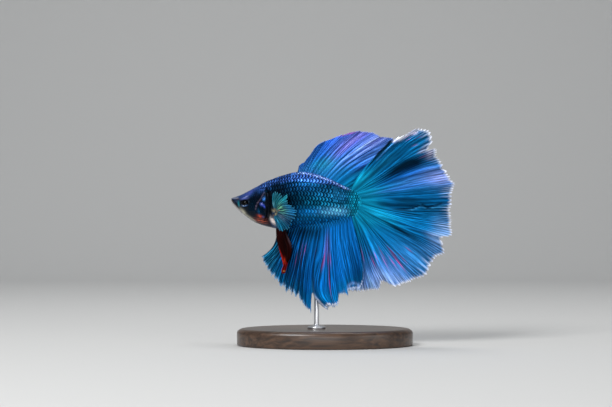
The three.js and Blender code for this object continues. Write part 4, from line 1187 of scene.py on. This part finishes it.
def blade_sheet(side):
    def sheet(u, v, reach):
        knots = np.linspace(0, 1, len(BLADE_LINE))
        s, l, z, half = (through(knots, column, v) for column in zip(*BLADE_LINE))
        w = 2 * u - 1
        ripple = 0.25 * np.sin(3 * math.pi * u + 2 * v) * smooth(v * 2)
        return s + w * half, side * (l + ripple), z + 0.18 * w * half
    return sheet


# v, and how far across the blade the red front ray comes there
RED_EDGE = [(0, -0.4), (0.28, -0.12), (0.40, 0.02), (0.52, 0.14), (0.62, 0.38), (0.7, 1.0)]


def blade_colour(u, v, ray):
    colour = ground("060001", u)
    colour = wash(colour, "200506", 0.8 * spot(u, v, (0.5, 0.16), (0.3, 0.1)))
    colour = wash(colour, "160304", 0.7 * ray * smooth((v - 0.3) / 0.2))
    colour = wash(colour, "640a0a", smooth((through(*zip(*RED_EDGE), v) - u) / 0.12 + 0.5))
    colour = wash(colour, "a82c14", 0.9 * spot(u, v, (0.28, 0.65), (0.2, 0.06)))
    # A grey painted highlight near the blade's rear edge.
    colour = wash(colour, "463c46", 0.9 * spot(u, v, (0.95, 0.3), (0.06, 0.10)))
    colour = wash(colour, "200808", 0.9 * spot(u, v, (0.3, 0.76), (0.4, 0.03)))
    return wash(colour, "c08a4a", 0.8 * spot(u, v, (0.55, 0.9), (0.3, 0.02)))


def blade_web(u, v):
    return 0.6 + 0 * u


red_web = web_material("red_web", 60.0, (0.4, 0.08, 0.06), 0.0, 0.5, {"Specular IOR Level": 0.18})
for side, word in ((-1, "left"), (1, "right")):
    blade = fin_shell(
        f"throat_fin_{word}", red_web, 60, 120, blade_sheet(side), blade_colour, blade_web,
        rays=5, forks=(), seed=99, white="7c1210", thick=(0.34, 0.2), ridge=0.12,
    )
    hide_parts(f"pelvic_fin_{word}")

# ---------------------------------------------------------------- eyes
# Glossy balls set deep under a brow, each with a black pupil in a dark teal iris that has a pale
# blue crescent along its lower rear rim, with two painted highlights on it.

BALL_RADIUS = 2.0
BALL_DEPTH = 1.78  # how deep the middle of the ball lies in the head
CORNEA_LIFT = 0.04  # how much the clear front swells, as a share of the radius


def eye_colour(along, up):
    """Colours by place on the ball's face, as shares of its radius, along towards the tail."""
    r, turn = np.hypot(along, up), np.degrees(np.arctan2(up, along))
    colour = ground("04080f", r)
    rim = np.hypot(along / 0.84, up / 0.58)
    # The iris's blue goes only on its lower half; the upper half is left near black as painted shade under
    # the brow.
    colour = wash(colour, "20385c", within(rim, 0.5, 1.0, 0.2) * within(turn, -175, -5, 40))
    colour = wash(colour, "4a6ea0", 0.9 * within(rim, 0.70, 0.92, 0.14) * within(turn, -140, -35, 40))
    # Two small painted highlights on the pale crescent.
    colour = wash(colour, "c4d8ee", 0.9 * bulge(along, up, (-0.16, -0.37), (0.13, 0.05)))
    colour = wash(colour, "a8bcd8", 0.8 * bulge(along, up, (0.32, -0.30), (0.08, 0.05)))
    pupil = np.hypot((along + 0.03) / 0.84, (up - 0.16) / 0.42)
    return wash(colour, "010102", smooth((1.0 - pupil) / 0.1))


GLOSS = {"Specular IOR Level": 0.1, "Coat Weight": 0.03, "Coat Roughness": 0.04}
eye_gloss, eye_shader = plain_material("eye_gloss", (0.02, 0.05, 0.08), 0.22, 0.2, sockets=GLOSS)
eye_ink = add_node(eye_gloss, "Attribute", attribute_name="marking_and_light")
eye_place = add_node(eye_gloss, "TexCoord")
eye_fleck = add_node(eye_gloss, "TexNoise", {"Scale": 5000})
eye_depth = add_node(eye_gloss, "MapRange", {"To Min": 0.5, "To Max": 1.5})
eye_tone = add_node(eye_gloss, "VectorMath", operation="SCALE")
join(
    eye_gloss,
    (eye_place, "Object", eye_fleck, "Vector"),
    (eye_fleck, "Fac", eye_depth, "Value"),
    (eye_ink, "Color", eye_tone, 0),
    (eye_depth, "Result", eye_tone, "Scale"),
    (eye_tone, "Vector", eye_shader, "Base Color"),
)

BALL_RINGS, BALL_SPOKES = 42, 72
ball_polar = np.linspace(0, math.pi, BALL_RINGS + 2)[1:-1]
ball_about = np.linspace(0, 2 * math.pi, BALL_SPOKES, False)
polar, about = np.meshgrid(ball_polar, ball_about, indexing="ij")
ball_r = BALL_RADIUS * (1 + CORNEA_LIFT * near(polar, 0.5))
along = ball_r * np.sin(polar) * np.cos(about)
up = ball_r * np.sin(polar) * np.sin(about)
out = ball_r * np.cos(polar)
pole_out = BALL_RADIUS * np.array([1 + CORNEA_LIFT, -1])
centre_l = through(STATIONS, HALF_WIDTH, EYE[0]) - BALL_DEPTH
tint = eye_colour(along / BALL_RADIUS, up / BALL_RADIUS).reshape(-1, 3)
for side, word in ((-1, "left"), (1, "right")):
    ball = on_spine(EYE[0] + along, side * (centre_l + out), EYE[1] + up).reshape(-1, 3)
    poles = on_spine(EYE[0] + np.zeros(2), side * (centre_l + pole_out), EYE[1] + np.zeros(2))
    faces = [face[::-side] for face in capped_rings(BALL_RINGS, BALL_SPOKES)]
    eye = mesh_piece(f"eyeball_{word}", np.concatenate([ball, poles]), faces, eye_gloss)
    paint(eye, np.concatenate([tint, tint[:1] * 0, tint[-1:]]))
    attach(eye, "root")
    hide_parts(f"eye_{word}")

# ---------------------------------------------------------------- scales
# Thin overlapping plates in staggered rows from the nape to the tail stalk, smaller on the gill
# covers and the crown. Each has a painted highlight in the middle of its bare part and painted
# shade at its edges and underside, so the flanks look beaded.

FIN_ROOT = 1.2  # how far scales run out on to the tail fin
GRID_S, GRID_T = np.linspace(-35, STALK_END + FIN_ROOT, 160), np.linspace(-16, 16, 321)


def turn_table():
    """The turning angle at each place s and height t along the left flank's curve from mid-side."""
    angles = np.linspace(-math.pi - 0.7, 0.7, 500)
    table = np.zeros((len(GRID_S), len(GRID_T)))
    middle = np.searchsorted(angles, -math.pi / 2)
    for i, s in enumerate(GRID_S):
        l, z = flesh(np.full_like(angles, s), angles)
        run = np.concatenate([[0], np.cumsum(np.hypot(np.diff(l), np.diff(z)))])
        table[i] = np.interp(GRID_T, run - run[middle], angles)
    return table


TURNS = turn_table()


def turn_at(s, t):
    i = np.clip((s - GRID_S[0]) / (GRID_S[1] - GRID_S[0]), 0, len(GRID_S) - 1.001)
    j = np.clip((t - GRID_T[0]) / (GRID_T[1] - GRID_T[0]), 0, len(GRID_T) - 1.001)
    i0, j0 = i.astype(int), j.astype(int)
    front = blend(TURNS[i0, j0], TURNS[i0, j0 + 1], j - j0)
    rear = blend(TURNS[i0 + 1, j0], TURNS[i0 + 1, j0 + 1], j - j0)
    return blend(front, rear, i - i0)


scale_finish, shine = plain_material(
    "scale_shine", (0.05, 0.2, 0.5), 0.3, 0.55, sockets={"Specular Tint": (0.02, 0.4, 1.0, 1)}
)
scale_ink = add_node(scale_finish, "Attribute", attribute_name="marking_and_light")
scale_place = add_node(scale_finish, "TexCoord")
scale_grain = add_node(scale_finish, "TexNoise", {"Scale": 2600})
scale_rough = add_node(scale_finish, "MapRange", {"To Min": 0.22, "To Max": 0.46})
scale_bump = add_node(scale_finish, "Bump", {"Strength": 0.2, "Distance": 0.00005})
join(
    scale_finish,
    (scale_ink, "Color", shine, "Base Color"),
    (scale_place, "Object", scale_grain, "Vector"),
    (scale_grain, "Fac", scale_rough, "Value"),
    (scale_rough, "Result", shine, "Roughness"),
    (scale_grain, "Fac", scale_bump, "Height"),
    (scale_bump, "Normal", shine, "Normal"),
)

PLATE_ROWS, PLATE_COLUMNS = 9, 7
PLATE_THICK, PLATE_ROOT = 0.06, 0.05  # how thick a plate is and how deep its front end is sunk
JITTER = 0.03  # how far a plate strays from its row
MAP_HEIGHT, PLATE_ON_MAP = 34, 0.0015


def scale_coat(name, side, centres, plate, seed, shade_and_highlight, edge, uneven):
    """One mesh of many plates. centres holds rows of s, t and how fully each is worked."""
    long, tall, rise = plate
    rng = np.random.default_rng(seed)
    n = len(centres)
    centre_s, centre_t, worked = (column[:, None, None] for column in centres.T)
    lengthwise, crosswise = 1 - 2 * np.linspace(1, 0, PLATE_ROWS) ** 1.4, np.linspace(-1, 1, PLATE_COLUMNS)
    p, q = np.meshgrid(lengthwise, crosswise, indexing="ij")
    size = rng.uniform(0.94, 1.06, (n, 1, 1))
    along = (-0.5 + (p + 1) / 2 * (1 - 0.46 * q**2)) * long * size
    across = q * tall / 2 * (0.66 + 0.34 * np.sin(math.pi * np.clip((p + 1.3) / 2.2, 0, 0.62))) * size
    s = np.minimum(centre_s + along + rng.normal(0, JITTER, (n, 1, 1)), STALK_END + FIN_ROOT)
    t = centre_t + across + rng.normal(0, JITTER, (n, 1, 1))
    a = turn_at(s, t)
    crown = ((1 - q**2) * 0.25 - 0.15 * smooth((p - 0.75) / 0.25)) * rise
    lift = -COAT_DEPTH - PLATE_ROOT + (rise * (p + 1) / 2 + crown) * (0.4 + 0.6 * worked) + 0 * s
    top = skin_at(s, side * -a, lift + rng.normal(0, 0.04 * rise, (n, 1, 1)))
    bottom = skin_at(s, side * -a, lift - PLATE_THICK)
    per = p.size
    one = shell_faces(np.arange(per).reshape(p.shape).T)[:, ::-side]
    faces = (one[None] + (np.arange(n) * 2 * per)[:, None, None]).reshape(-1, 4)
    points = np.concatenate([top.reshape(n, per, 3), bottom.reshape(n, per, 3)], 1).reshape(-1, 3)
    coat = mesh_piece(name, points, faces.tolist(), scale_finish)

    rear_edge = 0.72 - 0.14 * q**2
    highlight_mask = near(p - rear_edge, edge) * near(q, 0.7, 6)
    tone = blend(*shade_and_highlight, highlight_mask) * rng.uniform(1 - uneven, 1 + uneven, (n, 1, 1))
    tone = blend(1.0, tone, worked)
    base = marking_and_light(s, *flesh(s, side * -a))
    tint = np.clip(base * tone[..., None], 0, 1).reshape(n, per, 3)
    # The plates' undersides get half the colour, as painted shade.
    paint(coat, np.concatenate([tint, tint * 0.5], 1).reshape(-1, 3))
    place = np.stack([(centres[:, 0] - SNOUT) / (STALK_END - SNOUT), 0.5 + centres[:, 1] / MAP_HEIGHT], -1)
    patch = np.stack([p, q], -1).reshape(1, per, 2) * PLATE_ON_MAP
    own_map(coat, np.concatenate([place[:, None] + patch] * 2, 1).reshape(-1, 2))
    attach(coat, "root")


FLANK_REACH, LEAST_WORKED = 13, 0.12


def staggered(step, row, front_to_rear, worked_at):
    """Places for scales in rows, each with how fully it is worked, without the faintest ones."""
    places = []
    reach = int(FLANK_REACH / row)
    for k in range(-reach, reach + 1):
        run = np.arange(*front_to_rear, step) + (k % 2) * step / 2
        t = np.full_like(run, k * row)
        a = turn_at(run, t)
        on_side = (a < 0.02) & (a > -math.pi - 0.02)
        l, z = flesh(run, a)
        full = worked_at(run, z) * on_side
        places.append(np.stack([run, t, full], -1)[full > LEAST_WORKED])
    return np.concatenate(places)


def small_from(z):
    """Where the tail's smaller scales take over from the flank's."""
    return blend(8.2, 3.0, smooth((z + 1.5) / 3))


def on_flank(s, z):
    front = np.where(z > 4.9, -26.0 + 0.8 * np.maximum(0, 8.4 - z), line_at(GILL_EDGE, z) + 2.0)
    front = np.where(z < -5.6, -16.4, front)
    breast = (z < -4.4) & (s < -16.4)
    paddle = np.hypot((s + 16.8) / 1.2, (z + 3.0) / 1.5) < 1
    ridge = (z > through(STATIONS, BACK, s) - 0.9) & (s > -12)
    low = 1 - 0.42 * smooth((0.3 - z) / 2.5) * smooth((s + 13) / 5)
    return low * smooth((s - front + 0.5) / 2.5) * ~breast * ~paddle * ~ridge * (s < small_from(z))


def on_stalk(s, z):
    ridge = (z > through(STATIONS, BACK, s) - 0.7) & (s < 9)
    beyond = np.hypot(s - 7.2, (z - 0.3) * 0.9) + 0.25 * np.sin(7 * z)
    return smooth((5.4 - beyond) / 1.2 + 0.2) * (s >= small_from(z) - 0.4) * ~ridge


def on_ridge(s, z):
    return (z > through(STATIONS, BACK, s) - 1.3) * within(s, -12.6, 9.4, 0.5) * 0.9


def on_cheek(s, z):
    clear = smooth((np.hypot(s - EYE[0], z - EYE[1]) - 2.1) / 0.5)
    clear = clear * smooth((from_line(s, z, CHEEK_LINE) - 0.35) / 0.3)
    clear = clear * smooth((line_at(GILL_EDGE, z) - 0.8 - s) / 0.5)
    clear = clear * smooth((z + 3.6 + 0.25 * (s + 24)) / 1.0) * smooth((s + 29.5 - 0.5 * z) / 2.5)
    clear = clear * smooth((5.2 - z) / 0.8) * (z < 5.4)
    return clear * 0.8


flank_places = staggered(1.06, 1.57, (-27.0, 8.4), on_flank)
stalk_places = staggered(0.82, 1.02, (2.4, STALK_END + FIN_ROOT), on_stalk)
ridge_places = staggered(0.9, 0.72, (-12.6, 9.2), on_ridge)
cheek_places = staggered(0.82, 1.0, (-29.5, -19.0), on_cheek)
COATS = {  # plate length, height and rise; seed; painted edge shade and middle highlight; highlight width; unevenness
    "flank": (flank_places, (2.0, 2.02, 0.20), 11, (0.10, 2.9), 0.22, 0.5),
    "stalk": (stalk_places, (1.5, 1.32, 0.15), 21, (0.3, 2.0), 0.3, 0.5),
    "ridge": (ridge_places, (1.45, 1.1, 0.14), 26, (0.25, 3.2), 0.3, 0.8),
    "cheek": (cheek_places, (1.5, 1.35, 0.11), 31, (0.3, 1.0), 0.3, 0.5),
}
for side, word in ((-1, "left"), (1, "right")):
    for part, (places, plate, seed, shade_and_highlight, edge, uneven) in COATS.items():
        scale_coat(f"{part}_scales_{word}", side, places, plate, seed + side, shade_and_highlight, edge, uneven)
